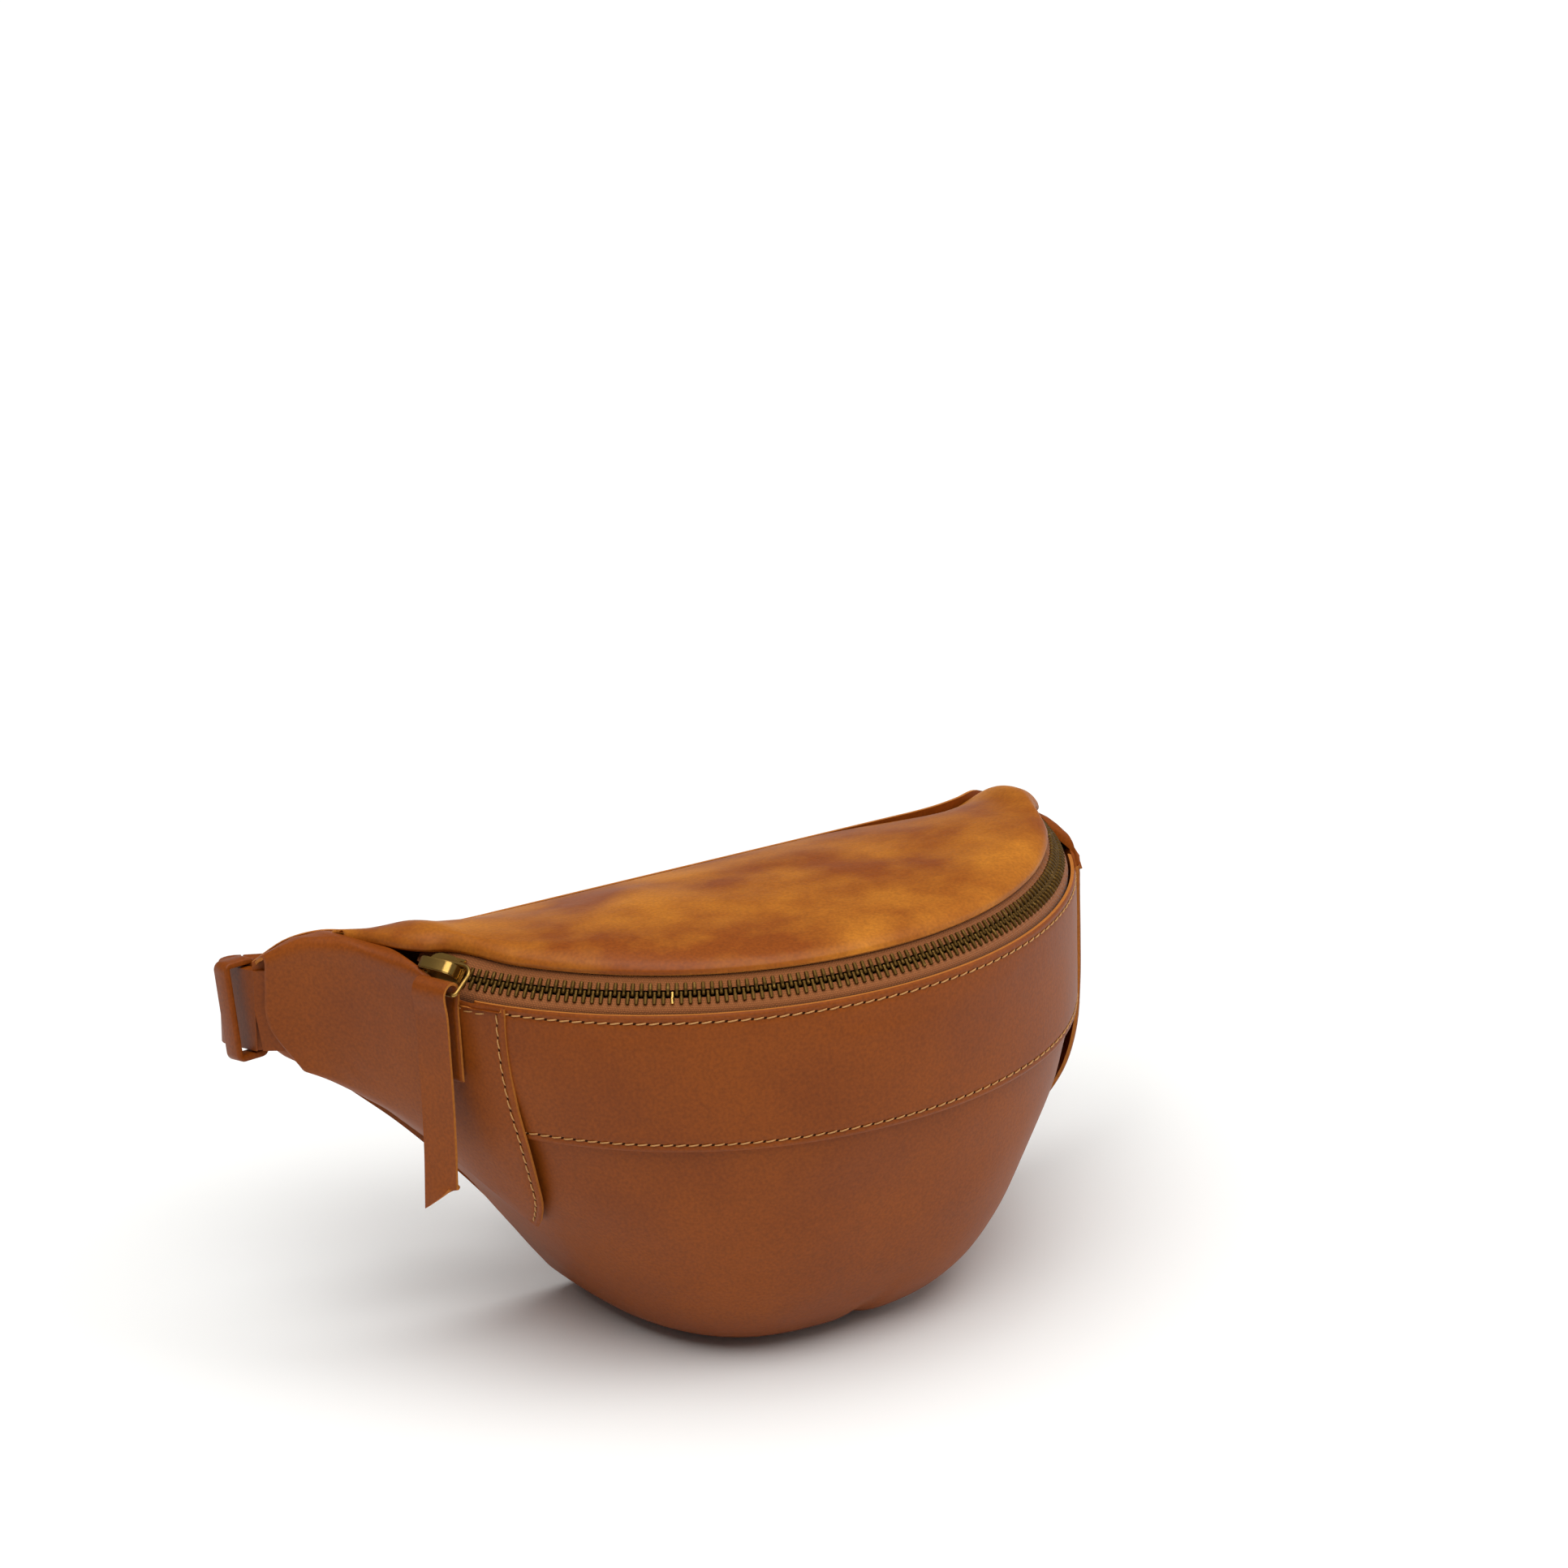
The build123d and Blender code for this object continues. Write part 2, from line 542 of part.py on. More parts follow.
KEEPER_ALONG = 9.0
left_keeper = upright(left.tip + left.out * KEEPER_ALONG - Vector(0, 0, 0.22 * KEEPER_ALONG) - left.inward * 1.6,
                      (left.out.X, left.out.Y), left.slope) * keeper(STRAP_W + 0.8, 7.2, 1.8, 6.5)


def clear_of(shape, *others):
    """Trim a panel where it would run into the pieces beneath it, and keep its largest piece."""
    for other in others:
        shape = shape - other
    return max(shape.solids(), key=lambda s: s.volume)


front = clear_of(front, band)
band = clear_of(band, lower_tape)
for name in wings:
    wings[name] = clear_of(wings[name], band, front, lower_tape, back)
top = clear_of(top, wings["left_wing"], wings["right_wing"], back)
left_tab = clear_of(left_tab, back, wings["left_wing"])
right_tab = clear_of(right_tab, back, wings["right_wing"])


# ---------------------------------------------------------------- write the nodes
NODES = {
    "front_panel": front, "front_band": band, "back_panel": back,
    "left_wing": wings["left_wing"], "right_wing": wings["right_wing"], "top_panel": top,
    "lining": lining, "lining_back": lining_back,
    "upper_tape": upper_tape, "lower_tape": lower_tape, "upper_teeth": upper_teeth, "lower_teeth": lower_teeth,
    "zip_stops": zip_stops, "slider": slider, "pull_ring": ring, "leather_pull": pull,
    "left_tab": left_tab, "right_tab": right_tab, "left_bend": left_bend, "right_bend": right_bend,
    "left_strap": left_strap, "buckle_keeper": buckle_keeper, "buckle_frame": buckle, "buckle_prong": prong,
    "right_strap": right_strap, "right_fold": right_fold, "right_tail": right_tail, "left_keeper": left_keeper,
}
for node, shape in NODES.items():
    save(node, shape)
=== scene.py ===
"""Leather waist pack: panels, stitches, zip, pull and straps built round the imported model."""

import json
import math

import bmesh
import bpy
import numpy as np
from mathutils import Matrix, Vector, kdtree, noise


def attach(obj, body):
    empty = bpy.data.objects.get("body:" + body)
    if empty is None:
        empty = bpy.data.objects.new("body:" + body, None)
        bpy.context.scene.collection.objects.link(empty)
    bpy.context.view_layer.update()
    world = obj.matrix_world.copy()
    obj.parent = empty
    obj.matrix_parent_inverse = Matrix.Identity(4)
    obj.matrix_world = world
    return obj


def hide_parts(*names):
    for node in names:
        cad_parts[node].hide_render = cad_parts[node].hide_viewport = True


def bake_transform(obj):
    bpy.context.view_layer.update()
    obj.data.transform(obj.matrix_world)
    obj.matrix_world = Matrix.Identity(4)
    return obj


bl_info = {
    "name": "Leather waist pack",
    "version": (1, 0, 0),
    "blender": (4, 5, 0),
    "location": "View3D > Sidebar > Waist pack",
    "description": "Builds the leather, the seams, the zip and the straps of a waist pack",
    "category": "Add Mesh",
}

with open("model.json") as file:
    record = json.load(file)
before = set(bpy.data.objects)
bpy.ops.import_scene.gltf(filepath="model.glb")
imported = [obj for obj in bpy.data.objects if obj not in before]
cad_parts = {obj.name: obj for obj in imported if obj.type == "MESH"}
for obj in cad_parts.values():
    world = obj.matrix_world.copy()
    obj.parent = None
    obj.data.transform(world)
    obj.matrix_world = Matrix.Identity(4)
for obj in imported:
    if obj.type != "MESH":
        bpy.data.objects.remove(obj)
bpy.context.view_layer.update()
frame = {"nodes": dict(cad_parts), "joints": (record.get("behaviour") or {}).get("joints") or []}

MM = 0.001
ORIGIN_Y = 45.0        # the resting face is this far in front of the zip's arc centre, mm
ZIP_Z = 118.0          # height of the zip's plane over the arc centre
ZIP_TILT = math.radians(4.0)
ZIP_R = 107.7          # radius of the chain's centre line
ZIP_LEAN = math.radians(40.0)
ZIP_END = 75.5         # half the arc that the chain covers, degrees
LEATHER = 1.4          # leather thickness
LAP = 1.6              # step from one leather layer to the next
TAPE = 0.6             # zip tape thickness
TOOTH_PITCH = 2.45     # pitch of the teeth on one tape
SLIDER_BETA = -69.3    # where the closed slider stands, degrees from the front
BACK_TOP = -5.0        # y of the back panel's outer face at the top
BACK_LOW = -12.0       # and at the floor

# Outline of the pack at levels below the zip's plane:
# level, half width left, half width right, depth in front of the arc centre, squareness
LEVELS = [
    (-4.0, 113.2, 113.2, 113.2, 2.0),
    (-13.0, 113.7, 113.7, 114.2, 2.0),
    (-26.0, 113.4, 113.8, 114.9, 2.0),
    (-43.0, 107.5, 112.0, 114.6, 2.1),
    (-62.0, 96.0, 102.0, 111.5, 2.3),
    (-80.0, 82.0, 89.0, 107.0, 2.5),
    (-95.0, 71.0, 79.0, 100.5, 2.7),
    (-107.0, 62.0, 69.5, 92.0, 2.85),
    (-114.5, 54.5, 60.0, 84.0, 2.9),
    (-118.0, 45.0, 50.0, 75.0, 3.0),
]

# Edges of the back panel seen from behind: (distance from the middle, height above the floor).
TOP_LEFT = [(0.0, 120.5), (85.0, 120.5), (104.0, 120.5), (118.0, 121.0), (126.0, 118.5), (134.5, 112.0)]
LOW_LEFT = [(0.0, 1.6), (30.0, 1.6), (43.0, 3.5), (53.0, 9.0), (62.0, 17.5), (71.0, 28.0), (82.0, 41.5),
            (97.0, 58.5), (106.0, 67.0), (118.0, 75.5), (128.0, 80.0), (134.5, 82.0)]
TOP_RIGHT = [(0.0, 120.5), (85.0, 120.5), (104.0, 119.5), (118.0, 108.0), (126.0, 100.0), (134.5, 90.0)]
LOW_RIGHT = [(0.0, 1.6), (30.0, 1.6), (46.0, 3.5), (57.0, 9.0), (68.0, 17.5), (78.0, 28.0), (88.0, 39.5),
             (100.0, 51.0), (108.0, 55.5), (118.0, 58.0), (128.0, 59.5), (134.5, 60.0)]

# Plan curves of a wing's outer face: (distance from the middle, y) at its top and lower edges.
WING_TOP = [(89.0, -72.0), (96.0, -63.0), (103.0, -50.5), (108.0, -39.5), (112.0, -28.0), (117.0, -14.5),
            (123.0, -3.0), (129.0, 4.5), (134.5, 10.0)]
WING_LOW = [(89.0, -14.0), (96.0, -11.0), (103.0, -8.0), (108.0, -5.0), (112.0, -2.5), (117.0, 0.5),
            (123.0, 4.0), (129.0, 7.5), (134.5, 10.5)]
WING_SHARES = [0.0, 0.08, 0.16, 0.24, 0.32, 0.40, 0.48, 0.56, 0.65, 0.75, 0.87, 1.0]
WING_DROPS = [-1.0, -0.66, -0.33, 0.0, 0.15, 0.32, 0.5, 0.66, 0.8, 0.9, 0.96, 1.0]

# Rise of the top panel over its front edge: (share of its depth, height).
DOME = [(0.0, 0.0), (0.03, 1.9), (0.08, 3.2), (0.16, 4.2), (0.32, 4.4), (0.5, 3.9), (0.68, 2.6), (0.85, 0.4),
        (0.94, -1.5), (1.0, -2.9)]
# Front edge of the top panel beyond the zip's ends: (distance from the middle, y).
HORN = [(101.0, -33.0), (104.0, -30.0), (107.5, -25.0), (112.0, -13.0), (116.0, -3.0)]
TOP_EDGE_W = 5.4       # the top panel's edge, measured across the zip from the chain

WING_INSET = 97.0      # distance of a wing's front seam from the middle, at its top
WING_SLANT = 16.0      # how far that seam runs inwards by the floor
PULL_HALF = 5.8        # half the pull's width
PULL_SLANT = 8.5       # how far the slanted cut climbs across the pull
CAMERA_SPOT = (-788.1, -1274.3, 764.2)  # mm

# Across and out of the chain: the tapes' sections from their woven edge outwards.
TAPE_SECTIONS = {
    "upper": [(1.2, 0.3), (3.0, 0.32), (4.6, 0.3), (6.0, 0.15), (8.0, -0.55), (10.0, -1.3)],
    "lower": [(-1.2, 0.3), (-3.0, 0.32), (-4.4, 0.3), (-5.6, -0.2), (-7.0, -1.5), (-8.3, -2.95)],
}
TAPE_STEP = 0.3        # mesh spacing on the tapes
RIB_PITCH = 0.95       # pitch of the tape's slanted ribs
RIB_HEIGHT = 0.11
CHEVRON = 1.5          # width of one leg of the herringbone
# A tooth from its crimped legs to its head: (distance across, half length, half height).
TOOTH_SECTIONS = [(3.15, 0.34, 0.85), (3.0, 0.50, 1.12), (1.5, 0.56, 1.22), (0.95, 0.52, 1.15),
                  (0.6, 0.40, 0.92), (0.1, 0.44, 0.98), (-0.35, 0.50, 1.02), (-0.62, 0.34, 0.80)]


# ------------------------------------------------------------------ settings
def hex_prop(label, text, value):
    """Colour property, as an sRGB hex value."""
    return bpy.props.StringProperty(name=label, description=text, default=value)


def size_prop(label, text, value):
    """Length property, in metres."""
    return bpy.props.FloatProperty(name=label, description=text, default=value, unit="LENGTH",
                                   subtype="DISTANCE", precision=5)


class PackColours(bpy.types.PropertyGroup):
    """Colours of the pack's materials."""

    leather: hex_prop("Leather", "Dyed full-grain leather", "#884208")
    # Painted light: the lid is the same hide as the body, painted lighter because the overhead light falls on
    # its top, not because handling lightened it.
    leather_top: hex_prop("Leather, lid", "The same hide where handling has lightened it", "#b8701c")
    leather_dark: hex_prop("Leather, dark", "Where the dye took deeper", "#7e3b05")
    edge: hex_prop("Cut edge", "Raw edge of the leather", "#b06a28")
    tape: hex_prop("Zip tape", "Woven zip tape", "#9a5c30")
    lining: hex_prop("Lining", "Plain cotton lining", "#4a3a2a")
    thread: hex_prop("Thread", "Waxed sewing thread", "#c08a4c")
    brass: hex_prop("Brass", "Antique brass, worn bright", "#b8924e")
    patina: hex_prop("Patina", "Antique brass, dark in the recesses", "#5e4520")


class PackSizes(bpy.types.PropertyGroup):
    """Sizes that a maker would change."""

    stitch_pitch: size_prop("Stitch pitch", "From one needle hole to the next", 3.6 * MM)
    thread: size_prop("Thread", "Thread diameter", 0.45 * MM)
    seam_inset: size_prop("Seam inset", "From a panel's edge to its stitches", 2.2 * MM)
    panel_step: size_prop("Panel step", "Mesh spacing on the leather panels", 1.8 * MM)


class StageSettings(bpy.types.PropertyGroup):
    """Floor, lights and camera."""

    floor: hex_prop("Floor", "Pale studio floor", "#f2f2f0")
    lens: bpy.props.FloatProperty(name="Lens", description="Focal length", default=130.43, unit="CAMERA")
    swing: bpy.props.FloatProperty(name="Swing", description="Camera's angle from the front",
                                   default=math.radians(31.9), subtype="ANGLE", unit="ROTATION")
    rise: bpy.props.FloatProperty(name="Rise", description="Camera's angle above the floor",
                                  default=math.radians(22.0), subtype="ANGLE", unit="ROTATION")


# ------------------------------------------------------------------ smooth shapes from a few points
def interp(x, table):
    """Straight-line lookup in a list of (x, value)."""
    xs, ys = zip(*table)
    return float(np.interp(x, xs, ys))


def through(knots, points, at):
    """Smooth line through points that run along the first axis, read at some places along it."""
    slopes = np.gradient(points, knots, axis=0)
    left = np.clip(np.searchsorted(knots, at, side="right") - 1, 0, len(knots) - 2)
    shape = (-1,) + (1,) * (points.ndim - 1)
    span = (knots[left + 1] - knots[left]).reshape(shape)
    t = ((at - knots[left]) / (knots[left + 1] - knots[left])).reshape(shape)
    return (points[left] * (2 * t ** 3 - 3 * t ** 2 + 1) + slopes[left] * span * (t ** 3 - 2 * t ** 2 + t)
            + points[left + 1] * (3 * t ** 2 - 2 * t ** 3) + slopes[left + 1] * span * (t ** 3 - t ** 2))


def running_length(grid):
    """Length along the first axis of a grid, averaged over the second."""
    steps = np.linalg.norm(np.diff(grid, axis=0), axis=-1).mean(axis=1)
    return np.concatenate([[0.0], np.cumsum(steps)])


def stations(total, step):
    """Places along a panel, close together at its edges, where it is sewn and rolls over."""
    edge = [0.0, 0.25, 0.6, 1.0, 1.4, 1.8, 2.2, 2.6, 3.0, 3.6, 4.4, 5.4]
    count = max(2, round((total - 2 * edge[-1]) / step))
    middle = [edge[-1] + (total - 2 * edge[-1]) * i / count for i in range(1, count)]
    return np.array(edge + middle + [total - e for e in reversed(edge)])


def unit(v):
    """Vectors scaled to length 1 along the last axis."""
    return v / np.maximum(np.linalg.norm(v, axis=-1, keepdims=True), 1e-9)


def bump(distance, centre, width):
    """Smooth hill of height 1."""
    return np.exp(-((distance - centre) / width) ** 2)


def wander(points, size, seed):
    """Slow, seeded variation between about -1 and 1."""
    flat = points.reshape(-1, 3) / size
    values = [noise.noise(Vector(p) + Vector((seed, 2.3 * seed, -seed))) for p in flat]
    return np.array(values).reshape(points.shape[:-1])


class Panel:
    """Piece of leather: a smooth grid of points, thickened, with rolled edges and pressed seams."""

    def __init__(self, grid, inside, step, thick=LEATHER, shape=None, roll=0.5):
        grid = np.array(grid, float)
        along = running_length(grid)
        across = running_length(grid.transpose(1, 0, 2))
        self.a, self.b = stations(along[-1], step), stations(across[-1], step)
        fine = through(along, grid, self.a)
        fine = through(across, fine.transpose(1, 0, 2), self.b).transpose(1, 0, 2)
        self.long, self.wide = along[-1], across[-1]
        n = unit(np.cross(np.gradient(fine, axis=0), np.gradient(fine, axis=1)))
        self.flip = bool((n * (fine - np.array(inside, float))).sum() < 0)
        if self.flip:
            n = -n
        a, b = np.meshgrid(self.a, self.b, indexing="ij")
        rise = np.zeros(a.shape)
        for distance in (a, self.long - a, b, self.wide - b):
            rise -= roll * bump(distance, 0.0, 0.45)
        if shape is not None:
            rise = rise + shape(fine, a, b, self)
        self.rows = across
        self.outer = fine + n * rise[..., None]
        self.inner = fine - n * thick
        self.refresh()

    def refresh(self):
        """Normals of the outer face."""
        self.normal = unit(np.cross(np.gradient(self.outer, axis=0), np.gradient(self.outer, axis=1)))
        if self.flip:
            self.normal = -self.normal

    def press(self, rows, depth=0.3, width=0.7):
        """Press seams into the outer face, and return them at their new depth."""
        points = np.concatenate([p for p, _n in rows])
        tree = kdtree.KDTree(len(points))
        for i, p in enumerate(points):
            tree.insert(p, i)
        tree.balance()
        low, high = points.min(axis=0) - 3.0, points.max(axis=0) + 3.0
        near = np.all((self.outer > low) & (self.outer < high), axis=-1)
        for i, j in zip(*np.nonzero(near)):
            gap = tree.find(self.outer[i, j])[2]
            self.outer[i, j] -= self.normal[i, j] * depth * math.exp(-(gap / width) ** 2)
        self.refresh()
        return [(p - n * depth * 0.85, n) for p, n in rows]

    def below(self, a_values, b_start, distance, sign=1):
        """Line at a true distance from one of the grid's rows, as points and normals."""
        pts, norms = [], []
        for a in a_values:
            start, _n = self.spot(a, b_start)
            step = 0.25
            b = b_start
            while np.linalg.norm(self.spot(a, b)[0] - start) < distance and 0 <= b <= self.wide:
                b += sign * step
            p, n = self.spot(a, b)
            pts.append(p)
            norms.append(n)
        return np.array(pts), np.array(norms)

    def spot(self, a, b):
        """Point and normal of the outer face at distances a and b along the panel."""
        i = int(np.clip(np.searchsorted(self.a, a) - 1, 0, len(self.a) - 2))
        j = int(np.clip(np.searchsorted(self.b, b) - 1, 0, len(self.b) - 2))
        s = (a - self.a[i]) / (self.a[i + 1] - self.a[i])
        t = (b - self.b[j]) / (self.b[j + 1] - self.b[j])
        out = []
        for g in (self.outer, self.normal):
            out.append((1 - s) * (1 - t) * g[i, j] + s * (1 - t) * g[i + 1, j]
                       + (1 - s) * t * g[i, j + 1] + s * t * g[i + 1, j + 1])
        return out[0], out[1] / np.linalg.norm(out[1])

    def line(self, marks, step=0.5):
        """Points and normals along straight runs between marks, each (a, b)."""
        pts, norms = [], []
        for (a0, b0), (a1, b1) in zip(marks, marks[1:]):
            count = max(2, int(math.hypot(a1 - a0, b1 - b0) / step))
            for i in range(count):
                p, n = self.spot(a0 + (a1 - a0) * i / count, b0 + (b1 - b0) * i / count)
                pts.append(p)
                norms.append(n)
        return np.array(pts), np.array(norms)


# ------------------------------------------------------------------ meshes
def finish_mesh(name, verts, faces, materials, body, marks=None, smooth_angle=40.0, offset=True):
    """Mesh object from points in millimetres about the zip's arc centre, riding on a body."""
    verts = np.array(verts, float)
    if offset:
        verts = verts + np.array([0.0, ORIGIN_Y, 0.0])
    mesh = bpy.data.meshes.new(name)
    mesh.from_pydata((verts * MM).tolist(), [], faces)
    for m in materials:
        mesh.materials.append(m)
    if marks is not None:
        mesh.polygons.foreach_set("material_index", marks)
    mesh.polygons.foreach_set("use_smooth", [True] * len(mesh.polygons))
    mesh.set_sharp_from_angle(angle=math.radians(smooth_angle))
    mesh.update()
    obj = bpy.data.objects.new(name, mesh)
    bpy.context.scene.collection.objects.link(obj)
    if body is not None:
        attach(obj, body)
    return obj


def grid_faces(rows, cols, start=0, flip=False):
    """Quads over a grid of points stored row by row."""
    quads = []
    for i in range(rows - 1):
        for j in range(cols - 1):
            p = start + i * cols + j
            quad = [p, p + 1, p + cols + 1, p + cols]
            quads.append(quad if flip else quad[::-1])
    return quads


def closed_sheet(outer, inner, flip):
    """Vertices, faces and face marks of a closed sheet; the marks are 1 on its edge."""
    rows, cols = outer.shape[:2]
    count = rows * cols
    verts = np.concatenate([outer.reshape(-1, 3), inner.reshape(-1, 3)])
    faces = grid_faces(rows, cols, 0, flip) + grid_faces(rows, cols, count, not flip)
    marks = [0] * len(faces)
    border = [i * cols for i in range(rows)] + [(rows - 1) * cols + j for j in range(1, cols)]
    border += [i * cols + cols - 1 for i in range(rows - 2, -1, -1)] + list(range(cols - 2, 0, -1))
    for p, q in zip(border, border[1:] + border[:1]):
        quad = [p, q, q + count, p + count]
        faces.append(quad if flip else quad[::-1])
        marks.append(1)
    return verts, faces, marks


def panel_object(name, panel, materials, body):
    """Closed leather shell: outer face, inner face and the cut edge between them."""
    verts, faces, marks = closed_sheet(panel.outer, panel.inner, panel.flip)
    return finish_mesh(name, verts, faces, materials, body, marks)


class Parts:
    """Growing list of small closed shapes that end up as one mesh."""

    def __init__(self):
        self.verts, self.faces, self.marks = [], [], []

    def add(self, verts, faces, mark=0):
        base = len(self.verts)
        self.verts.extend(np.array(verts, float).tolist())
        self.faces.extend([[base + i for i in f] for f in faces])
        self.marks.extend([mark] * len(faces))

    def tube(self, rings, mark=0):
        """Closed tube through rings of points."""
        sides = len(rings[0])
        verts = [p for ring in rings for p in ring]
        faces = []
        for k in range(len(rings) - 1):
            for i in range(sides):
                j = (i + 1) % sides
                faces.append([k * sides + i, k * sides + j, (k + 1) * sides + j, (k + 1) * sides + i])
        faces.append(list(range(sides))[::-1])
        faces.append([(len(rings) - 1) * sides + i for i in range(sides)])
        self.add(verts, faces, mark)


def sew(parts, points, normals, pitch, thread, slant=0.16):
    """Row of slanted stitches along a line of points, with a needle hole between each two."""
    run = np.concatenate([[0.0], np.cumsum(np.linalg.norm(np.diff(points, axis=0), axis=1))])
    count = max(1, int(round(run[-1] / pitch)))
    gap = run[-1] / count
    shape = [(-0.5, -0.30, 0.45), (-0.43, 0.02, 0.8), (-0.2, 0.20, 1.0), (0.2, 0.20, 1.0), (0.43, 0.02, 0.8),
             (0.5, -0.30, 0.45)]

    def read(values, at):
        return np.array([np.interp(at, run, values[:, c]) for c in range(3)])

    for k in range(count + 1):
        at = min(k * gap, run[-1])
        p, n = read(points, at), unit(read(normals, at))
        t = unit(read(points, at + 0.6) - read(points, at - 0.6))
        side = np.cross(n, t)
        hole_dir = unit(t + side * 0.9)
        hole_side = np.cross(n, hole_dir)
        ring = []
        for i in range(8):
            w = 2 * math.pi * i / 8
            ring.append(p + hole_dir * math.cos(w) * 0.62 + hole_side * math.sin(w) * 0.34 + n * 0.035)
        rim = [q - n * 0.5 for q in ring]
        parts.tube([rim, ring], 1)
        if k == count:
            break
        mid = at + gap / 2
        p, n = read(points, mid), unit(read(normals, mid))
        t = unit(read(points, mid + 0.6) - read(points, mid - 0.6))
        t = unit(t + np.cross(n, t) * slant)
        side = np.cross(n, t)
        rings = []
        for s, lift, fat in shape:
            centre = p + t * s * gap * 0.86 + n * lift
            rings.append([centre + (side * math.cos(w) + n * math.sin(w)) * thread * fat / 2
                          for w in (2 * math.pi * i / 6 for i in range(6))])
        parts.tube(rings, 0)


# ------------------------------------------------------------------ the pack's outline
def rho(beta, row):
    """Distance from the arc centre to the outline at an angle from the front."""
    _level, left, right, front, power = row
    wide = left if beta < 0 else right
    s, c = abs(math.sin(math.radians(beta))), abs(math.cos(math.radians(beta)))
    return ((s / wide) ** power + (c / front) ** power) ** (-1.0 / power)


def tilt_share(level):
    """The zip's tilt fades out towards the floor."""
    return max(0.0, 1.0 + level / ZIP_Z)


def profile(beta, offset):
    """Distances out and heights of the wall at an angle, moved out along its own normal."""
    pts = []
    for row in LEVELS:
        r = rho(beta, row)
        lift = math.tan(ZIP_TILT) * r * math.cos(math.radians(beta)) * tilt_share(row[0])
        pts.append((r, ZIP_Z + row[0] + lift))
    pts = np.array(pts)
    d = np.gradient(pts, axis=0)
    n = unit(np.stack([-d[:, 1], d[:, 0]], axis=1))
    return pts + n * offset


def back_plane(z):
    """Depth of the flat back at a height."""
    return BACK_TOP + (BACK_LOW - BACK_TOP) * (1.0 - z / 120.0)


def swung(beta, r, z):
    """Point at an angle from the front."""
    b = math.radians(beta)
    return (r * math.sin(b), -r * math.cos(b), z)


def end_angle(index, side, offset, half_width):
    """Angle at which a level of the wall reaches the back or the wing's seam."""
    low, high = 20.0, 89.0
    for _ in range(24):
        mid = (low + high) / 2
        r, z = profile(side * mid, offset)[index]
        x, y, _z = swung(side * mid, r, z)
        inside = abs(x) < half_width and y < back_plane(z) - 1.6
        low, high = (mid, high) if inside else (low, mid)
    return low


def wall_grid(first, last, offset, half_width, columns=41):
    """Grid over the pack's front between two levels."""
    ends = {(i, s): end_angle(i, s, offset, half_width) for i in range(first, last + 1) for s in (-1, 1)}
    grid = []
    for share in np.linspace(-1.0, 1.0, columns):
        side = -1 if share < 0 else 1
        line = []
        for i in range(first, last + 1):
            beta = share * ends[(i, side)]
            r, z = profile(beta, offset)[i]
            line.append(swung(beta, r, max(z, 0.0)))
        grid.append(line)
    return np.array(grid)


def level_z(y, level):
    """Height of a level in the zip's tilted system."""
    return ZIP_Z + level - math.tan(ZIP_TILT) * y * tilt_share(level)


def back_y(x, z):
    """Outer face of the back panel: flat behind the pack, swept back towards the tips."""
    s = max(0.0, min(1.2, (abs(x) - 80.0) / 54.0))
    return BACK_TOP + (BACK_LOW - BACK_TOP) * max(0.0, 1.0 - z / 120.0) + 22.5 * s ** 1.35


def back_edge(x, top):
    """Height of the back panel's upper or lower edge."""
    table = (TOP_LEFT if top else LOW_LEFT) if x < 0 else (TOP_RIGHT if top else LOW_RIGHT)
    return interp(abs(x), table)


def wing_top_z(x):
    """The wing's top edge: under the zip in front, above it behind the zip's end."""
    d = abs(x)
    y = interp(d, WING_TOP)
    under = level_z(y, -4.0)
    over = min(level_z(y, 4.5), back_edge(x, True) + 2.0)
    return under + (over - under) * wing_over(d)


def wing_over(d):
    """0 where the wing ends under the zip, 1 where it rolls over the top behind the zip's end."""
    s = max(0.0, min(1.0, (d - 103.0) / 5.5))
    return s * s * (3 - 2 * s)


def outline_y(x, z, offset):
    """Depth of the pack's wall at a distance from the middle and a height."""
    level = z - ZIP_Z
    for upper, lower in zip(LEVELS, LEVELS[1:]):
        if lower[0] <= level:
            break
    t = min(1.0, max(0.0, (level - upper[0]) / (lower[0] - upper[0])))
    row = [p + (q - p) * t for p, q in zip(upper, lower)]
    wide = (row[1] if x < 0 else row[2]) + offset
    ratio = min(1.0, abs(x) / wide)
    return -(row[3] + offset) * (1.0 - ratio ** row[4]) ** (1.0 / row[4])


def wing_point(side, share, u):
    """Point of a wing's outer face; share runs from its front seam to its tip, u from its top edge down."""
    seam = WING_INSET - WING_SLANT * max(u, 0.0) ** 3
    tip = 134.5 - 9.0 * max(0.0, (u - 0.5) / 0.5) ** 2
    d = seam + (tip - seam) * share
    x = side * d
    z_top, z_low = wing_top_z(x), back_edge(x, False) + 1.0
    y_top, y_low = interp(d, WING_TOP), interp(d, WING_LOW)
    blend = max(0.0, min(1.0, (d - 96.0) / 38.0))
    v = max(u, 0.0)
    full = (1.0 - v ** 4) ** 0.45 + 0.16 * v * (1.0 - v)
    g = (1.0 - blend) * full + blend * (1.0 - v)
    y = y_low + (y_top - y_low) * g
    z = z_top + (z_low - z_top) * v
    wall = min(outline_y(x, z, LAP * 1.1), y_low)
    mix = max(0.0, min(1.0, (d - 92.0) / 10.0))
    y = wall + (y - wall) * mix
    if u < 0:
        over = wing_over(d)
        rear = back_y(x, z_top) - 0.8
        turn = -u * math.pi / 2
        tuck_y, tuck_z = y - 1.6 * u, z_top + 0.8 * u
        puff = 2.2 * over
        over_y = y + (rear - y) * (1 - math.cos(turn))
        over_z = z_top + puff * math.sin(turn * 2) + (back_edge(x, True) - z_top) * (-u)
        y = tuck_y + (over_y - tuck_y) * over
        z = tuck_z + (over_z - tuck_z) * over
    return (x, y, z)


def wing_grid(side):
    """Points of a wing's outer face, from its front seam to the tip and from behind its top edge down."""
    return [[wing_point(side, share, u) for u in WING_DROPS] for share in WING_SHARES]


